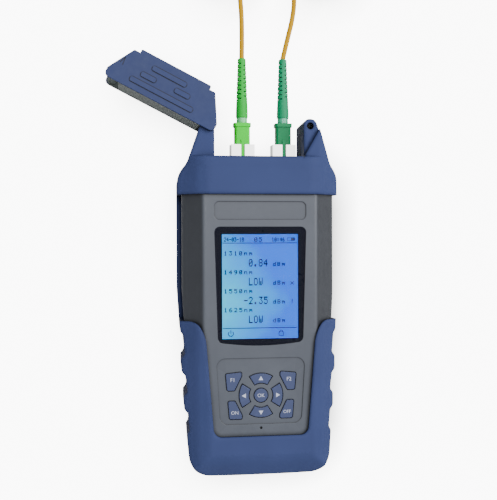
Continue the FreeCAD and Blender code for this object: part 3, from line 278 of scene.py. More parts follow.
@dataclass(frozen=True)
class Moulded:
    """Moulded plastic or rubber: fine grain, faint cloudy colour, rubbing on edges and a little dust,
    with a painted highlight on edges and painted shade on slopes and in crevices.

    rough is the mean roughness, grain and depth are the grain's size and height, cloud is the share
    by which the colour drifts, and wear_and_highlight how far convex edges turn pale: partly real
    rubbing, partly a painted highlight on creases. shadow is how dark a crevice gets, a painted
    shade, reach how wide it may be, and open_at the openness that counts as free. soften is the
    radius that creases are shaded with. slope is how bright a sloping face is beside a flat one, a
    painted shade on the slopes, and flat the range of the normal's Z between the two. glow is
    painted light: the light that the surface gives though it is no lamp. dust, rubbed_and_highlit
    and crease are how bright the dust, the pale edges and the painted shade are beside the plain
    colour.
    """

    name: str
    colour: Colour
    rough: float = 0.45
    grain: float = 0.35 * MM
    depth: float = 0.02 * MM
    cloud: float = 0.07
    specular: float = 0.5
    sheen: float = 0.0
    # Pale convex edges: partly real rubbing, partly a painted highlight.
    wear_and_highlight: float = 0.25
    # Painted shade in crevices, on every finish whose shadow stays above 0.
    shadow: float = 0.45
    reach: float = 1.8 * MM
    open_at: float = 0.9
    soften: float = 0.0
    # Below 1 it paints shade on sloping faces.
    slope: float = 1.0
    flat: Span = (0.84, 0.975)
    # Above 0 it is painted light: the surface glows though it is no lamp.
    glow: float = 0.0
    broad_size: float = 28 * MM
    fine_size: float = 3 * MM
    dust: float = 0.9
    dust_at: Span = (0.35, 0.75)
    dust_share: float = 0.35
    rubbed_and_highlit: float = 1.7
    rubbed_and_highlit_at: Span = (0.52, 0.60)
    crease: float = 0.06

    def material(self) -> Material:
        """Builds the node material.

        Returns:
            The material.
        """
        tree = Tree(bpy.data.materials.new(self.name))
        broad, fine = tree.noise(self.broad_size, 3.0), tree.noise(self.fine_size, 4.0)
        tint = self.tint(tree, broad, fine)
        grain = tree.noise(self.grain, 3.0, rough=0.6)
        rough = tree.spread(tree.sums("ADD", broad, fine), (0.6, 1.4), (self.rough - 0.06, self.rough + 0.08))
        below = tree.softened(self.soften) if self.soften else None
        shader = tree.add("ShaderNodeBsdfPrincipled", Base_Color=tint, Roughness=rough,
                          Normal=tree.bump(grain, self.depth, tree.bump(fine, self.depth * 2, below)))
        shader.inputs["Specular IOR Level"].default_value = self.specular
        shader.inputs["Sheen Weight"].default_value = self.sheen
        shader.inputs["Sheen Roughness"].default_value = 0.5
        # Painted light: the surface glows in its own colour.
        if self.glow:
            tree.feed(shader.inputs["Emission Color"], tint)
            shader.inputs["Emission Strength"].default_value = self.glow
        return tree.finish(shader)

    def tint(self, tree: Tree, broad: Socket, fine: Socket) -> Socket:
        """The colour with its clouds, dust, edges pale from rubbing and from a painted highlight, and
        painted shade on slopes and in crevices.

        Args:
            tree: The material's tree.
            broad: The coarse noise.
            fine: The fine noise.

        Returns:
            The colour.
        """
        tint = tree.mix(tree.spread(broad, MIDDLE), shaded(self.colour, 1 - self.cloud),
                        shaded(self.colour, 1 + self.cloud))
        dusty = tree.spread(fine, self.dust_at, (0.0, self.dust_share))
        tint = tree.mix(dusty, tint, shaded(self.colour, self.dust))
        # Convex edges turn pale: partly real rubbing, partly a painted highlight on creases.
        edge = tree.add("ShaderNodeNewGeometry").outputs["Pointiness"]
        pale_share = tree.sums("MULTIPLY", tree.spread(edge, self.rubbed_and_highlit_at, (0.0, self.wear_and_highlight)),
                         tree.spread(fine, MIDDLE, (0.3, 1.0)))
        tint = tree.mix(pale_share, tint, shaded(self.colour, self.rubbed_and_highlit))
        # Painted shade: sloping faces are made darker than flat ones.
        if self.slope != 1.0:
            tint = tree.mix(tree.upright(*self.flat), tree.mix(1 - self.slope, tint, (0.0, 0.0, 0.0)), tint)
        # Painted shade: crevices, gaps and spots beside walls are made darker.
        if self.shadow:
            dark = tree.mix(self.shadow, tint, shaded(self.colour, self.crease))
            tint = tree.mix(tree.crevice(self.reach, self.open_at), dark, tint)
        return tint


@dataclass(frozen=True)
class Metal:
    """Plated metal with brushed streaks."""

    name: str
    colour: Colour
    rough: float = 0.3
    streak_size: float = 0.2 * MM
    streak_depth: float = 0.01 * MM
    cloud_size: float = 4 * MM

    def material(self) -> Material:
        """Builds the node material.

        Returns:
            The material.
        """
        tree = Tree(bpy.data.materials.new(self.name))
        streak = tree.noise(self.streak_size, 3.0, (12, 1, 1))
        cloud = tree.spread(tree.noise(self.cloud_size, 3.0), MIDDLE)
        tint = tree.mix(cloud, shaded(self.colour, UNEVEN[0]), shaded(self.colour, UNEVEN[1]))
        shader = tree.add("ShaderNodeBsdfPrincipled", Base_Color=tint, Metallic=1.0,
                          Roughness=tree.spread(streak, MIDDLE, (self.rough - 0.08, self.rough + 0.12)),
                          Normal=tree.bump(streak, self.streak_depth))
        return tree.finish(shader)


@dataclass(frozen=True)
class ClearWindow:
    """Clear acrylic with fine scratches."""

    name: str
    colour: Colour = (0.97, 0.98, 1.0)
    bend: float = 1.15
    scratch_size: float = 0.12 * MM
    scratch_depth: float = 0.002 * MM
    smear_size: float = 7 * MM

    def material(self) -> Material:
        """Builds the node material.

        Returns:
            The material.
        """
        tree = Tree(bpy.data.materials.new(self.name))
        scratch = tree.noise(self.scratch_size, 2.0, (1, 60, 1))
        smear = tree.spread(tree.noise(self.smear_size, 4.0), (0.4, 0.8), (0.02, 0.10))
        shader = tree.add("ShaderNodeBsdfPrincipled", Base_Color=(*self.colour, 1), Roughness=smear,
                          Normal=tree.bump(scratch, self.scratch_depth))
        shader.inputs["Transmission Weight"].default_value = 1.0
        shader.inputs["IOR"].default_value = self.bend
        return tree.finish(shader)


@dataclass(frozen=True)
class Backlight:
    """A backlit display: cyan glow low on the left, deeper blue on the right and at the top.

    The blue's share is how far right a spot lies, plus its distance from the brightest level, plus a
    little noise. low and high are the panel's corners, and all three parts count from 0 to 1.
    """

    name: str
    glow: Colour
    blue: Colour
    low: Span
    high: Span
    strength: float = 1.3
    brightest: float = 0.36
    fall: float = 0.9
    drift: float = 0.25
    drift_size: float = 9 * MM

    def material(self) -> Material:
        """Builds the node material.

        Returns:
            The material.
        """
        tree = Tree(bpy.data.materials.new(self.name))
        across = tree.spread(tree.axis("X"), (self.low[0], self.high[0]))
        along = tree.spread(tree.axis("Y"), (self.low[1], self.high[1]))
        off = tree.sums("ABSOLUTE", tree.sums("SUBTRACT", along, self.brightest), 0)
        share = tree.sums("ADD", across, tree.sums("MULTIPLY", off, self.fall))
        share = tree.sums("ADD", share, tree.sums("MULTIPLY", tree.noise(self.drift_size, 3.0), self.drift))
        tint = tree.mix(tree.spread(share, (0.15, 1.05)), self.glow, self.blue)
        shader = tree.add("ShaderNodeBsdfPrincipled", Base_Color=(0.0, 0.03, 0.1, 1), Roughness=0.6,
                          Emission_Color=tint, Emission_Strength=self.strength)
        return tree.finish(shader)


@dataclass(frozen=True)
class Ink:
    """Printed or displayed marks: one colour with a slightly uneven tone."""

    name: str
    colour: Colour
    rough: float = 0.6
    worn_size: float = 0.5 * MM

    def material(self) -> Material:
        """Builds the node material.

        Returns:
            The material.
        """
        tree = Tree(bpy.data.materials.new(self.name))
        pale_share = tree.spread(tree.noise(self.worn_size, 3.0), MIDDLE)
        tint = tree.mix(pale_share, shaded(self.colour, UNEVEN[0]), shaded(self.colour, UNEVEN[1]))
        return tree.finish(tree.add("ShaderNodeBsdfPrincipled", Base_Color=tint, Roughness=self.rough))


RUBBER_BLUE = linear(61, 72, 114)
CASE_GREY = linear(80, 85, 95)
KEY_BLUE = linear(58, 69, 108)


@dataclass
class Finishes:
    """Every material of the meter, made once. A lead's greens go by its side."""

    rubber: Material = field(init=False)
    case: Material = field(init=False)
    dark: Material = field(init=False)
    cover: Material = field(init=False)
    channel: Material = field(init=False)
    keys: Material = field(init=False)
    window: Material = field(init=False)
    mask: Material = field(init=False)
    white: Material = field(init=False)
    metal: Material = field(init=False)
    board: Material = field(init=False)
    cell: Material = field(init=False)
    ceramic: Material = field(init=False)
    green: dict[Side, Material] = field(init=False)
    boot: dict[Side, Material] = field(init=False)
    frames: dict[Side, Material] = field(init=False)
    jacket: Material = field(init=False)
    legend: Material = field(init=False)
    ink: Material = field(init=False)
    dark_line: Material = field(init=False)

    def __post_init__(self) -> None:
        """Builds the materials."""
        self.build_case()
        self.build_ports()
        self.build_leads()
        self.legend = Ink("key_legend_pale", linear(205, 210, 232)).material()
        self.ink = Ink("display_ink_navy", linear(4, 12, 60)).material()
        # Dark navy for the painted shade rings round the cover's bars, and for the cover's arrow.
        self.dark_line = Ink("cover_shade_ring_and_arrow_navy", linear(14, 20, 46)).material()

    def build_case(self) -> None:
        """The holster, case, cover, keys and window."""
        # Painted shade on the rubber's sloping sides, and a wide painted shade in its crevices and along the
        # rails.
        self.rubber = Moulded("holster_rubber_blue", RUBBER_BLUE, rough=0.55, grain=0.3 * MM,
                              depth=0.015 * MM, specular=0.06, wear_and_highlight=0.1, slope=0.4, flat=(0.05, 0.6),
                              shadow=0.7, reach=7 * MM, open_at=0.8, soften=3.5 * MM).material()
        # Painted shade on the case's sloping faces and in its crevices, round the keys and under the band;
        # its pale edges are partly a painted highlight.
        self.case = Moulded("case_plastic_grey", CASE_GREY, rough=0.42, grain=0.4 * MM, depth=0.02 * MM,
                            slope=0.4, wear_and_highlight=0.15, shadow=0.9, reach=2.6 * MM, open_at=0.96,
                            soften=0.5 * MM).material()
        self.dark = Moulded("inner_plastic_dark", linear(38, 41, 46), rough=0.6).material()
        # Painted shade on the cover's sloping sides.
        self.cover = Moulded("cover_plastic_blue", linear(44, 58, 104), rough=0.5, grain=0.3 * MM,
                             depth=0.012 * MM, specular=0.3, wear_and_highlight=0.1, slope=0.4, flat=(0.05, 0.6)).material()
        # Painted shade in the channel's crevices.
        self.channel = Moulded("cover_channel_grey", linear(92, 100, 98), rough=0.5, depth=0.03 * MM,
                               specular=0.3, shadow=0.6).material()
        # Painted shade round the keys in their wells.
        self.keys = Moulded("key_rubber_blue", KEY_BLUE, rough=0.5, grain=0.2 * MM, depth=0.01 * MM,
                            sheen=0.1, shadow=0.9, reach=1.6 * MM, open_at=0.96).material()
        self.window = ClearWindow("window_acrylic").material()
        # The black border is painted lighter and glows: a painted glare.
        self.mask = Moulded("window_border_black", linear(62, 64, 80), rough=0.3, depth=0.002 * MM, wear_and_highlight=0.0,
                            glow=0.4, shadow=0.2).material()

    def build_ports(self) -> None:
        """The adapters, and the pieces inside the case."""
        # The adapters glow, painted light, and their sloping sides get painted shade.
        self.white = Moulded("adapter_plastic_white", linear(248, 248, 245), rough=0.35, depth=0.004 * MM,
                             cloud=0.02, glow=2.6, shadow=0.3, slope=0.25, flat=(0.05, 0.6)).material()
        self.metal = Metal("plated_steel", linear(190, 190, 188)).material()
        self.board = Moulded("board_green", linear(30, 90, 60), rough=0.3, depth=0.003 * MM).material()
        self.cell = Moulded("cell_wrap", linear(52, 60, 72), rough=0.25, depth=0.002 * MM,
                            cloud=0.03).material()
        self.ceramic = Moulded("ceramic_ivory", linear(240, 236, 226), rough=0.15, depth=0.001 * MM,
                               cloud=0.02).material()

    def build_leads(self) -> None:
        """The plugs, boots and cords."""
        self.green = self.pair("plug_green", linear(0, 236, 34), linear(0, 134, 80), rough=0.45,
                               depth=0.004 * MM, cloud=0.05, specular=0.25)
        self.boot = self.pair("boot_green", linear(0, 190, 56), linear(0, 150, 100), rough=0.5,
                              depth=0.01 * MM, specular=0.25, shadow=0.6)
        self.frames = self.pair("frame_green", linear(120, 225, 150), linear(70, 190, 150), rough=0.25,
                                depth=0.003 * MM)
        self.jacket = Moulded("cord_jacket_yellow", linear(206, 154, 0), rough=0.5, grain=0.5 * MM,
                              depth=0.006 * MM, specular=0.15, cloud=0.06, wear_and_highlight=0.0).material()

    def pair(self, name: str, light: Colour, deep: Colour, **looks: float) -> dict[Side, Material]:
        """A light green for the left lead and a deep one for the right.

        Args:
            name: What both materials' names start with.
            light: The left lead's colour.
            deep: The right lead's colour.
            **looks: The other sizes of the finish.

        Returns:
            The two materials by side.
        """
        return {Side.LEFT: Moulded(f"{name}_light", light, **looks).material(),
                Side.RIGHT: Moulded(f"{name}_deep", deep, **looks).material()}


# ---------------------------------------------------------------- meshes


def placed(name: str, data: bpy.types.ID) -> bpy.types.Object:
    """Puts a mesh, curve, light or camera into the scene.

    Args:
        name: The new object's name.
        data: What it holds.

    Returns:
        The object, at the origin.
    """
    made = bpy.data.objects.new(name, data)
    bpy.context.collection.objects.link(made)
    return made


def made_mesh(name: str, spots: np.ndarray, faces: list[list[int]], material: Material) -> bpy.types.Object:
    """Puts computed points and faces into a new object.

    Args:
        name: The piece's name.
        spots: Points, one row each, in metres.
        faces: Corner numbers, one list a face.
        material: The piece's finish.

    Returns:
        The object, linked to the scene.
    """
    mesh = bpy.data.meshes.new(name)
    mesh.from_pydata(spots.tolist(), [], faces)
    mesh.materials.append(material)
    mesh.update()
    LOG.info("made %s", name)
    return placed(name, mesh)


def boxes(edges: np.ndarray) -> np.ndarray:
    """Rectangles as four corners each, counter-clockwise.

    Args:
        edges: Rows of left, low, right and high.

    Returns:
        Array of rectangles by four corners by x and y.
    """
    return edges[:, [[0, 1], [2, 1], [2, 3], [0, 3]]]


def band(inner: np.ndarray, outer: np.ndarray) -> np.ndarray:
    """The four-sided pieces between two lines that have a point each for a point.

    Args:
        inner: The inner line's points.
        outer: The outer line's points.

    Returns:
        Array of pieces by four corners by x and y.
    """
    return np.stack([inner[:-1], outer[:-1], outer[1:], inner[1:]], 1)


def plates(corners: np.ndarray, low: float, high: float) -> tuple[np.ndarray, list[list[int]]]:
    """Thin closed slabs over many four-sided outlines at once.

    Each outline is copied to two levels, and the six faces of a box are numbered from its eight
    corners, with the box's own first corner added for every outline.

    Args:
        corners: Array of outlines by four corners by x and y, counter-clockwise.
        low: Level of the undersides.
        high: Level of the tops.

    Returns:
        The points and the faces.
    """
    count = len(corners)
    spots = np.zeros((count, 2, 4, 3))
    spots[:, :, :, :2] = corners[:, None]
    spots[:, 0, :, 2], spots[:, 1, :, 2] = low, high
    box = np.array([[3, 2, 1, 0], [4, 5, 6, 7], [0, 1, 5, 4], [1, 2, 6, 5], [2, 3, 7, 6], [3, 0, 4, 7]])
    faces = box[None] + 8 * np.arange(count)[:, None, None]
    return spots.reshape(-1, 3), faces.reshape(-1, 4).tolist()


def lettered(name: str, words: str, size: float, middle: tuple[float, float, float], depth: float,
             material: Material) -> bpy.types.Object:
    """Raised lettering as a mesh, centred on a spot.

    Args:
        name: The piece's name.
        words: What it says.
        size: Height of the letters' body, in metres.
        middle: Centre of the lettering.
        depth: Half of its thickness.
        material: Its finish.

    Returns:
        The lettering, as a mesh.
    """
    curve = bpy.data.curves.new(name, "FONT")
    curve.body, curve.size, curve.extrude = words, size, depth
    curve.align_x, curve.align_y = "CENTER", "CENTER"
    text = placed(name, curve)
    bpy.context.view_layer.update()
    mesh = bpy.data.meshes.new_from_object(text)
    bpy.data.objects.remove(text)
    mesh.transform(Matrix.Translation(middle))
    mesh.materials.clear()
    mesh.materials.append(material)
    return placed(name, mesh)


def dress(node: str, material: Material) -> bpy.types.Object:
    """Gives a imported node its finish.

    Args:
        node: The node's name.
        material: Its finish.

    Returns:
        The node's object.
    """
    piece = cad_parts[node]
    piece.data.materials.clear()
    piece.data.materials.append(material)
    LOG.info("dressed %s with %s", node, material.name)
    return piece


# ---------------------------------------------------------------- sub-assemblies


@dataclass
class Studio:
    """White table, soft light from the right, and the camera that looks down on the screen.

    The camera's angles are in degrees. A panel is a name, a place, a size and a power, in metres and
    watts. shadow_lean is the direction that the table's painted shadow opens to.
    """

    target: tuple[float, float, float] = (-7.1 * MM, 27.32 * MM, 44 * MM)
    distance: float = 530 * MM
    leftward: float = 8.45
    upward: float = 0.6
    roll: float = -0.18
    lens: float = 65.7288
    sensor: float = 36.0
    clip: Span = (0.01, 20.0)
    floor_size: float = 3.0
    floor_level: float = -0.1 * MM
    floor_glow: float = 10.0
    # The table's painted shadow.
    shadow_reach: float = 26 * MM
    shadow_depth: float = 0.06
    shadow_from: float = 0.4
    shadow_lean: tuple[float, float, float] = (-0.68, 0.34, 0.65)
    shadow_rays: int = 24
    surround: float = 0.45
    aim: tuple[float, float, float] = (0.0, 0.02, 0.02)
    panels: tuple[tuple[str, tuple[float, float, float], float, float], ...] = (
        ("key_panel", (0.8, 0.45, 1.0), 0.7, 16.0),
        ("top_panel", (-0.15, 0.35, 1.5), 0.35, 7.0),
        ("front_panel", (0.1, -1.0, 0.9), 0.8, 2.0),
    )

    def build(self) -> None:
        """Makes the floor, the lights and the camera."""
        self.build_floor()
        self.build_camera()
        self.build_lights()
        LOG.info("set up the table, the camera and %d panels", len(self.panels))

    def build_floor(self) -> None:
        """A wide pale table top that looks white, with a painted soft shadow on the right of what lies
        on it.

        It is one square of four corners. Seen by the camera it glows and its own colour is black, and it
        glows less where things near it close in the view along shadow_lean: a painted shadow.
        """
        half = self.floor_size / 2
        spots = np.array([[-half, -half, self.floor_level], [half, -half, self.floor_level],
                          [half, half, self.floor_level], [-half, half, self.floor_level]])
        tree = Tree(bpy.data.materials.new("table_white"))
        seen = tree.add("ShaderNodeLightPath").outputs["Is Camera Ray"]
        pale = tree.mix(tree.noise(0.4, 2.0), (0.90, 0.90, 0.90), (0.93, 0.93, 0.93))
        # Painted shadow: the glow is cut where things nearby close in the view along shadow_lean.
        lean = tree.add("ShaderNodeCombineXYZ", **dict(zip("XYZ", self.shadow_lean))).outputs[0]
        near = tree.add("ShaderNodeAmbientOcclusion", Distance=self.shadow_reach, Normal=lean)
        near.samples = self.shadow_rays
        lit = tree.spread(near.outputs["AO"], (self.shadow_from, 1.0), (self.shadow_depth, 1.0))
        shine = tree.sums("MULTIPLY", tree.sums("MULTIPLY", seen, lit), self.floor_glow)
        shader = tree.add("ShaderNodeBsdfPrincipled", Base_Color=tree.mix(seen, pale, (0.0, 0.0, 0.0)),
                          Roughness=0.85, Emission_Color=(1, 1, 1, 1), Emission_Strength=shine)
        made_mesh("table", spots, [[0, 1, 2, 3]], tree.finish(shader))

    def build_camera(self) -> None:
        """The camera stands left of and just above the screen's middle and looks at it."""
        left, up, roll = (math.radians(x) for x in (self.leftward, self.upward, self.roll))
        ahead = Vector((math.sin(left) * math.cos(up), -math.sin(up), -math.cos(left) * math.cos(up)))
        right = ahead.cross(Vector((0, 1, 0))).normalized()
        above = right.cross(ahead)
        turned_right = right * math.cos(roll) + above * math.sin(roll)
        turned_up = above * math.cos(roll) - right * math.sin(roll)
        data = bpy.data.cameras.new("camera")
        data.lens, data.sensor_width = self.lens, self.sensor
        data.clip_start, data.clip_end = self.clip
        matrix = Matrix((turned_right, turned_up, -ahead)).transposed().to_4x4()
        matrix.translation = Vector(self.target) - ahead * self.distance
        camera = placed("camera", data)
        camera.matrix_world = matrix
        bpy.context.scene.camera = camera

    def build_lights(self) -> None:
        """Three soft panels and an even white surround."""
        world = bpy.data.worlds.new("surround")
        world.use_nodes = True
        world.node_tree.nodes["Background"].inputs[0].default_value = (1.0, 1.0, 1.0, 1)
        world.node_tree.nodes["Background"].inputs[1].default_value = self.surround
        bpy.context.scene.world = world
        for panel in self.panels:
            self.build_panel(*panel)

    def build_panel(self, name: str, spot: tuple[float, float, float], size: float, power: float) -> None:
        """One square light that faces the meter.

        Args:
            name: The light's name.
            spot: Its place.
            size: Its side.
            power: Its power, in watts.
        """
        data = bpy.data.lights.new(name, "AREA")
        data.shape, data.size, data.energy = "SQUARE", size, power
        light = placed(name, data)
        light.location = spot
        light.rotation_euler = (Vector(self.aim) - Vector(spot)).to_track_quat("-Z", "Y").to_euler()


@dataclass
class Lead:
    """A test lead: the plug in the port, its boot, and the cord that runs to a coil and the far plug.

    Sizes are in millimetres. steps, drift and fall place the free stretch's points from the boot's
    tip: how far along, how far across, and the share of the port's height above the table that is
    left. rings are the coil's turns, as a radius in cords and a height, and over are the points
    past the coil's outer turn: how far out, how far above its top, and their height.
    """

    side: Side
    finishes: Finishes
    port_x: float
    coil_x: float
    drift: tuple[float, ...]
    exit_y: float = 141.2
    port_z: float = 28.0
    coil_y: float = 211.0
    tail_z: float = 4.5
    steps: tuple[float, ...] = (0, 12, 26, 40, 54, 66.6, 72.8)
    fall: tuple[float, ...] = (1, 0.99, 0.87, 0.6, 0.25, 0.03, 0)
    cord: float = 3.0
    length: float = 0.92
    turns: int = 7
    per_turn: int = 14
    first_angle: float = 18.0
    slide_from: float = 0.66
    uneven: float = 0.25
    rings: tuple[Span, ...] = ((7, 1.5), (6, 1.5), (5, 1.5), (5, 4.5), (6, 4.5), (7, 4.5), (6, 7.5), (6, 7.5))
    over: tuple[tuple[float, float, float], ...] = ((6, 0.1, 7.6), (11, 0.4, 7.2), (14.5, 0.3, 5.2))
    coil_top: float = 18.0
    far_gap: float = 17.0
    smooth: int = 6
    round_steps: int = 5

    def route(self) -> np.ndarray:
        """The free stretch, from the boot's tip down to the table.

        Returns:
            Its points, one row each.
        """
        along = self.exit_y + np.array(self.steps)
        across = self.port_x + np.array(self.drift)
        height = self.tail_z + np.array(self.fall) * (self.port_z - self.tail_z)
        return np.stack([across, along, height], 1)

    def coil(self) -> np.ndarray:
        """The coil: three layers of turns that lie beside and on each other.

        The angle grows evenly, and the turn's number picks its ring: outer to inner on the table,
        inner to outer above, and the last on top. The radius and height slide from one ring to the
        next over the last third of a turn, along the curve 3 s squared minus 2 s cubed.

        Returns:
            Its points, one row each.
        """
        rings = np.array(self.rings, dtype=float)
        rings[:, 0] *= self.cord
        start = math.radians(self.first_angle)
        end = math.pi / 2 + 2 * math.pi * self.turns
        angle = np.linspace(start, end, self.turns * self.per_turn)
        turn = (angle - start) / (2 * math.pi)
        here = np.minimum(turn.astype(int), len(rings) - 2)
        slide = np.clip((turn - here - self.slide_from) / (1 - self.slide_from), 0, 1)
        slide = slide * slide * (3 - 2 * slide)
        ring = rings[here] * (1 - slide)[:, None] + rings[here + 1] * slide[:, None]
        radius = ring[:, 0] + self.uneven * np.sin(3 * angle + 2 * turn)
        return np.stack([self.coil_x - self.side.value * radius * np.cos(angle),
                         self.coil_y + radius * np.sin(angle), ring[:, 1]], 1)

    def tail(self) -> np.ndarray:
        """The last stretch, over the coil's outer turn and down to the far boot.

        Returns:
            Its points, one row each.
        """
        way, top = self.side.value, self.coil_y + self.coil_top
        points = [[self.coil_x + way * out, top + above, height] for out, above, height in self.over]
        return np.array([*points, [self.coil_x + way * self.far_gap, top, self.tail_z]])

    def build(self) -> bpy.types.Object:
        """Returns:
            The cord.
        """
        name = self.side.name.lower()
        parts = self.dress_plugs(name)
        points = np.concatenate([self.route()[:-1], self.coil(), self.tail()]) * MM
        curve = bpy.data.curves.new(f"lead_cord_{name}", "CURVE")
        curve.dimensions, curve.use_fill_caps = "3D", True
        curve.bevel_depth, curve.bevel_resolution = self.cord / 2 * MM, self.round_steps
        spline = curve.splines.new("NURBS")
        spline.points.add(len(points) - 1)
        spline.points.foreach_set("co", np.concatenate([points, np.ones((len(points), 1))], 1).ravel())
        spline.order_u, spline.use_endpoint_u, spline.resolution_u = 3, True, self.smooth
        curve.materials.append(self.finishes.jacket)
        piece = placed(f"lead_cord_{name}", curve)
        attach(piece, "case")
        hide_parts(f"cord_{name}", f"cord_coil_{name}", f"cord_tail_{name}")
        LOG.info("laid %s", piece.name)
        return piece

    def dress_plugs(self, name: str) -> list[bpy.types.Object]:
        """Gives both plugs of the lead their finishes.

        Args:
            name: The side's name, as the nodes have it.

        Returns:
            The plugs' pieces.
        """
        done = [dress(f"plug_ferrule_{name}", self.finishes.ceramic)]
        for end in ("plug", "far"):
            done.append(dress(f"{end}_grip_{name}", self.finishes.green[self.side]))
            done.append(dress(f"{end}_frame_{name}", self.finishes.frames[self.side]))
            done.append(dress(f"{end}_boot_{name}", self.finishes.boot[self.side]))
        return done


# Each glyph is five columns of seven dots, as two hex digits a column whose lowest bit is the top dot.
GLYPHS = {
    "0": "3E5149453E", "1": "00427F4000", "2": "4261514946", "3": "2141454B31", "4": "1814127F10",
    "5": "2745454539", "6": "3C4A494930", "7": "0171090503", "8": "3649494936", "9": "064949291E",
    "n": "7C08040478", "m": "7C04180478", "d": "384444487F", "B": "7F49494936", "L": "7F40404040",
    "O": "3E4141413E", "W": "3F4038403F", "-": "0808080808", ".": "0060600000", ":": "0036360000",
    "!": "00005F0000", "x": "4428102844", " ": "0000000000",
}


@dataclass
class Display:
    """The backlit display: its glow, dot-matrix read-out, rules and small icons.

    Sizes are in millimetres. A word's dots are given as a width, a height and the advance from one
    letter to the next, and the icons' bars as left, low, right and high.
    """

    finishes: Finishes
    left: float = -22.4
    right: float = 22.4
    foot: float = -24.4
    top: float = 36.5
    level: float = 41.9
    ink: float = 0.06
    bold: float = 0.08
    status_top: float = 34.6
    status: tuple[tuple[str, float, tuple[float, float, float]], ...] = (
        ("24-03-18", -21.2, (0.24, 0.34, 1.5)), ("05", -3.4, (0.36, 0.36, 2.7)),
        ("10:46", 7.0, (0.24, 0.34, 1.6)))
    readings: tuple[tuple[str, str, str], ...] = (
        ("1310nm", " 0.84", " "), ("1490nm", " LOW", "x"), ("1550nm", "-2.35", "!"), ("1625nm", " LOW", " "))
    first_line: float = 26.6
    line_pitch: float = 11.0
    wave_left: float = -21.2
    wave_dots: tuple[float, float, float] = (0.35, 0.35, 2.95)
    value_place: Span = (-9.6, -4.6)
    value_dots: tuple[float, float, float] = (0.43, 0.62, 2.95)
    unit_place: Span = (7.6, -6.3)
    unit_dots: tuple[float, float, float] = (0.3325, 0.35, 2.7)
    mark_place: Span = (18.0, -6.0)
    mark_dots: tuple[float, float, float] = (0.385, 0.385, 2.7)
    rule_bars: tuple[tuple[float, ...], ...] = ((-22.0, 31.1, 22.0, 31.6), (-22.0, -18.5, 22.0, -18.0))
    battery_bars: tuple[tuple[float, ...], ...] = (
        (16.2, 32.5, 16.5, 34.6), (16.5, 34.3, 20.6, 34.6), (16.5, 32.5, 20.6, 32.8),
        (20.3, 32.8, 20.6, 34.3), (20.6, 33.1, 21.0, 34.0), (18.4, 32.9, 20.2, 34.2))
    power_bars: tuple[tuple[float, ...], ...] = ((-17.55, -21.4, -17.05, -19.2),)
    lock_bars: tuple[tuple[float, ...], ...] = (
        (10.9, -23.0, 11.3, -20.6), (13.5, -23.0, 13.9, -20.6), (11.3, -23.0, 13.5, -22.6),
        (11.3, -21.0, 13.5, -20.6))
    power_ring: tuple[float, ...] = (-17.3, -21.4, 1.75, 0.5, 130, 410)
    lock_ring: tuple[float, ...] = (12.4, -20.6, 1.1, 0.4, 0, 180)
    ring_points: int = 25

    def build(self) -> None:
        """Builds the glowing panel, the marks on it, the window and its border."""
        glow = Backlight("display_backlight", linear(0, 214, 255), linear(0, 104, 255),
                         (self.left * MM, self.foot * MM), (self.right * MM, self.top * MM))
        dress("lcd_panel", glow.material())
        dress("lcd_tray", self.finishes.white)
        dress("display_mask", self.finishes.mask)
        dress("display_window", self.finishes.window)
        self.mark("readout_small", self.small_words())
        self.mark("readout_values", self.values())
        self.mark("readout_rules", self.rules())

    def mark(self, name: str, corners: np.ndarray) -> None:
        """Lays thin dark marks on the panel.

        Args:
            name: The piece's name.
            corners: Array of outlines by four corners by x and y.
        """
        spots, faces = plates(corners * MM, self.level * MM, (self.level + self.ink) * MM)
        piece = made_mesh(name, spots, faces, self.finishes.ink)
        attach(piece, "case")

    def word(self, words: str, left: float, top: float, dots: tuple[float, float, float]) -> np.ndarray:
        """Dot-matrix outlines of a word.

        Each lit bit of a glyph is one rectangle, a dot wide and a dot tall, at its column and row,
        and a little bolder than its cell.

        Args:
            words: The text.
            left: Left edge.
            top: Top edge.
            dots: Width and height of a dot, and the distance from one letter to the next.

        Returns:
            Array of rectangles by four corners by x and y.
        """
        wide, tall, advance = dots
        columns = np.array([[int(GLYPHS[c][2 * i:2 * i + 2], 16) for i in range(5)] for c in words])
        letter, column, row = np.nonzero((columns[:, :, None] >> np.arange(7)) & 1)
        x, y = left + letter * advance + column * wide, top - row * tall
        edges = (x - self.bold, y - tall - self.bold, x + wide + self.bold, y + self.bold)
        return boxes(np.stack(edges, 1))

    def small_words(self) -> np.ndarray:
        """The status line, the wavelengths, the units and the marks beside them.

        Returns:
            Array of rectangles by four corners by x and y.
        """
        words = [self.word(text, left, self.status_top, dots) for text, left, dots in self.status]
        for number, (wave, _, mark) in enumerate(self.readings):
            line = self.first_line - self.line_pitch * number
            words.append(self.word(wave, self.wave_left, line, self.wave_dots))
            words.append(self.word("dBm", self.unit_place[0], line + self.unit_place[1], self.unit_dots))
            words.append(self.word(mark, self.mark_place[0], line + self.mark_place[1], self.mark_dots))
        return np.concatenate(words)

    def values(self) -> np.ndarray:
        """The four readings, in taller figures.

        Returns:
            Array of rectangles by four corners by x and y.
        """
        left, first = self.value_place[0], self.first_line + self.value_place[1]
        return np.concatenate([self.word(text, left, first - self.line_pitch * number, self.value_dots)
                               for number, (_, text, _) in enumerate(self.readings)])

    def ring(self, x: float, y: float, radius: float, wall: float, start: float, end: float) -> np.ndarray:
        """A ring or arc between two radii: the middle plus a radius times the angle's cosine and sine.

        Args:
            x: The middle's x.
            y: The middle's y.
            radius: The outer radius.
            wall: How much smaller the inner radius is.
            start: The first angle, in degrees.
            end: The last angle.

        Returns:
            Array of pieces by four corners by x and y.
        """
        angle = np.radians(np.linspace(start, end, self.ring_points))
        spokes = np.stack([np.cos(angle), np.sin(angle)], 1)
        return band(np.array([x, y]) + spokes * (radius - wall), np.array([x, y]) + spokes * radius)

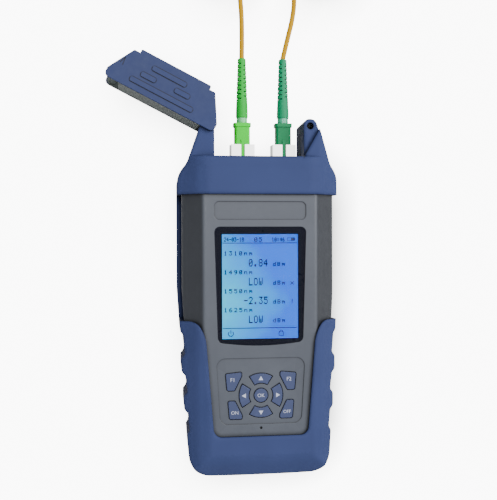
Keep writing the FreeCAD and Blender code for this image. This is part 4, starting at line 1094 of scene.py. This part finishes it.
    def rules(self) -> np.ndarray:
        """Two rules, and the battery, power and lock icons.

        Returns:
            Array of pieces by four corners by x and y.
        """
        bars = boxes(np.array([*self.rule_bars, *self.battery_bars, *self.power_bars, *self.lock_bars]))
        return np.concatenate([bars, self.ring(*self.power_ring), self.ring(*self.lock_ring)])


@dataclass
class Keypad:
    """The nine keys and their legends.

    Sizes are in millimetres. A key's word comes with its place and the height of its letters' body,
    and arrow is the corners of the mark on the upper arrow key, from the dial's centre.
    """

    finishes: Finishes
    top: float = 44.1
    rise: float = 0.05
    dial_y: float = -57.4
    arrow: tuple[Span, ...] = ((0.0, 11.3), (-1.35, 8.9), (1.35, 8.9))
    ways: tuple[str, ...] = ("up", "left", "down", "right")
    words: tuple[tuple[str, str, Span, float], ...] = (
        ("function_key_left", "F1", (-16.6, -48.2), 3.1), ("function_key_right", "F2", (16.6, -48.2), 3.1),
        ("power_key_left", "ON", (-15.4, -67.3), 2.8), ("power_key_right", "OFF", (15.4, -67.3), 2.6),
        ("ok_key", "OK", (0.0, -57.5), 2.9))

    def build(self) -> None:
        """Dresses the keys, and prints the words and arrows on them."""
        for node in list(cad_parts):
            if "key" in node and node != "key_mat":
                dress(node, self.finishes.keys)
        dress("key_mat", self.finishes.dark)
        for node, words, (x, y), size in self.words:
            piece = lettered(f"legend_{words.lower()}", words, size * MM, (x * MM, y * MM, self.top * MM),
                             self.rise * MM, self.finishes.legend)
            self.attach(piece, node)
        for turn, way in enumerate(self.ways):
            self.attach(self.triangle(f"legend_{way}", turn * math.pi / 2), f"arrow_key_{way}")

    def attach(self, piece: bpy.types.Object, node: str) -> None:
        """Lets a legend move with its key.

        Args:
            piece: The legend.
            node: The key.
        """
        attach(piece, f"{node}_cap")
        LOG.info("printed %s on %s", piece.name, node)

    def triangle(self, name: str, turn: float) -> bpy.types.Object:
        """A solid triangle that points outwards on an arrow key.

        Its three corners are turned about the dial's centre and copied to the print's two levels.

        Args:
            name: The piece's name.
            turn: The turn, in radians.

        Returns:
            The triangle.
        """
        spin = np.array([[math.cos(turn), math.sin(turn)], [-math.sin(turn), math.cos(turn)]])
        flat = np.array(self.arrow) @ spin + [0, self.dial_y]
        levels = (self.top - self.rise, self.top + self.rise)
        spots = np.concatenate([np.column_stack([flat, np.full(len(flat), level)]) for level in levels])
        faces = [[0, 2, 1], [3, 4, 5], [0, 1, 4, 3], [1, 2, 5, 4], [2, 0, 3, 5]]
        return made_mesh(name, spots * MM, faces, self.finishes.legend)


@dataclass
class CoverMarks:
    """Dark rings round the cover's raised bars, a painted shade, and the bent arrow near its free end.

    Sizes are in millimetres. Places are given on the closed cover, from the middle between its hinge
    holes, and turned with it about the hinge to where it rests. A bar is its left and right end and
    its level, and the arrow's two strokes are a start and an end each.
    """

    finishes: Finishes
    hinge: Span = (-30.3, 100.2)
    half_span: float = 30.3
    turn: float = math.radians(153)
    level: float = 44.1
    rise: float = 0.05
    bar_half: float = 1.35
    wide: float = 0.5
    shade_ring_points: int = 49
    bars: tuple[tuple[float, float, float], ...] = (
        (-9.2, 12.2, -13.5), (7.3, 16.5, -7.5), (-18.7, 20.9, -2.3), (-13.9, -4.6, -8.2))
    arrow: tuple[tuple[Span, Span], ...] = (((28.4, -11.6), (29.9, -7.8)), ((28.4, -11.6), (28.0, -6.9)))

    def build(self) -> None:
        """Lays the marks on the cover's face and lets them swing with it."""
        # The rings round the bars are painted shade; the arrow strokes are a mark.
        strips = [self.dark_line(*bar) for bar in self.bars] + [self.stroke(*line) for line in self.arrow]
        flat = self.swung(np.concatenate(strips))
        spots, faces = plates(flat * MM, self.level * MM, (self.level + self.rise) * MM)
        piece = made_mesh("cover_shade_rings_and_arrow", spots, faces, self.finishes.dark_line)
        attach(piece, "cover")
        LOG.info("marked the cover with %s", piece.name)

    def dark_line(self, left: float, right: float, along: float) -> np.ndarray:
        """A closed band between two round-ended outlines about a bar: the bar's painted shade.

        Each outline's point lies at a radius from the nearer end's centre, half a turn round each
        end: centre plus radius times the cosine and sine of the angle.

        Args:
            left: The bar's left end.
            right: Its right end.
            along: Its level.

        Returns:
            Array of pieces by four corners by x and y.
        """
        angle = np.radians(np.linspace(-90, 270, self.shade_ring_points))
        middle = np.where(np.cos(angle) > 1e-9, right - self.bar_half, left + self.bar_half)
        inner, outer = [np.stack([middle + radius * np.cos(angle), along + radius * np.sin(angle)], 1)
                        for radius in (self.bar_half, self.bar_half + self.wide)]
        return band(inner, outer)

    def stroke(self, start: Span, end: Span) -> np.ndarray:
        """A straight line with a width: its ends, moved half the width to either side.

        Args:
            start: One end.
            end: The other end.

        Returns:
            Array of one piece by four corners by x and y.
        """
        one, two = np.array(start), np.array(end)
        side = np.array([one[1] - two[1], two[0] - one[0]]) / np.linalg.norm(two - one) * self.wide / 2
        return np.array([[one - side, two - side, two + side, one + side]])

    def swung(self, spots: np.ndarray) -> np.ndarray:
        """Moves places on the closed cover to where it rests: shifted to the hinge, then turned.

        Args:
            spots: Array that ends in x and y.

        Returns:
            The moved places, in the same order.
        """
        cos, sin = math.cos(self.turn), math.sin(self.turn)
        x, y = spots[..., 0] + self.half_span, spots[..., 1]
        return np.stack([self.hinge[0] + cos * x - sin * y, self.hinge[1] + sin * x + cos * y], -1)


@dataclass
class Meter:
    """The case, holster, cover, ports and inner pieces."""

    finishes: Finishes

    def build(self) -> None:
        """Dresses each node that isn't part of the display, keypad or leads."""
        f = self.finishes
        plan = {
            f.rubber: ("rubber_holster",), f.case: ("front_shell", "rear_shell", "battery_door"),
            f.cover: ("cover_front_plate", "cover_rear_plate"), f.channel: ("cover_frame",),
            f.metal: ("cover_hinge_pin", "case_screws", "port_plate", "battery_contacts"),
            f.dark: ("light_pipe", "buzzer", "board_chips", "optics_block"), f.board: ("main_board",),
            f.white: ("adapter_left", "adapter_right"), f.ceramic: ("sleeve_left", "sleeve_right"),
            f.cell: tuple(f"battery_cell_{n}" for n in range(1, 5)),
        }
        for material, nodes in plan.items():
            for node in nodes:
                dress(node, material)


def main() -> None:
    """Builds the scene: studio, leads, case, display and keypad."""
    logging.basicConfig(level=logging.INFO, format="%(message)s")
    finishes = Finishes()
    Studio().build()
    Lead(Side.LEFT, finishes, port_x=-8.5, coil_x=-26.0, drift=(0, 0.2, 0.5, 0.4, 0.3, 0.5, 0.5)).build()
    Lead(Side.RIGHT, finishes, port_x=16.3, coil_x=41.0, drift=(0, 2.9, 6.9, 9.4, 8.2, 6.7, 6.7)).build()
    Meter(finishes).build()
    CoverMarks(finishes).build()
    Display(finishes).build()
    Keypad(finishes).build()


if __name__ == "__main__":
    main()
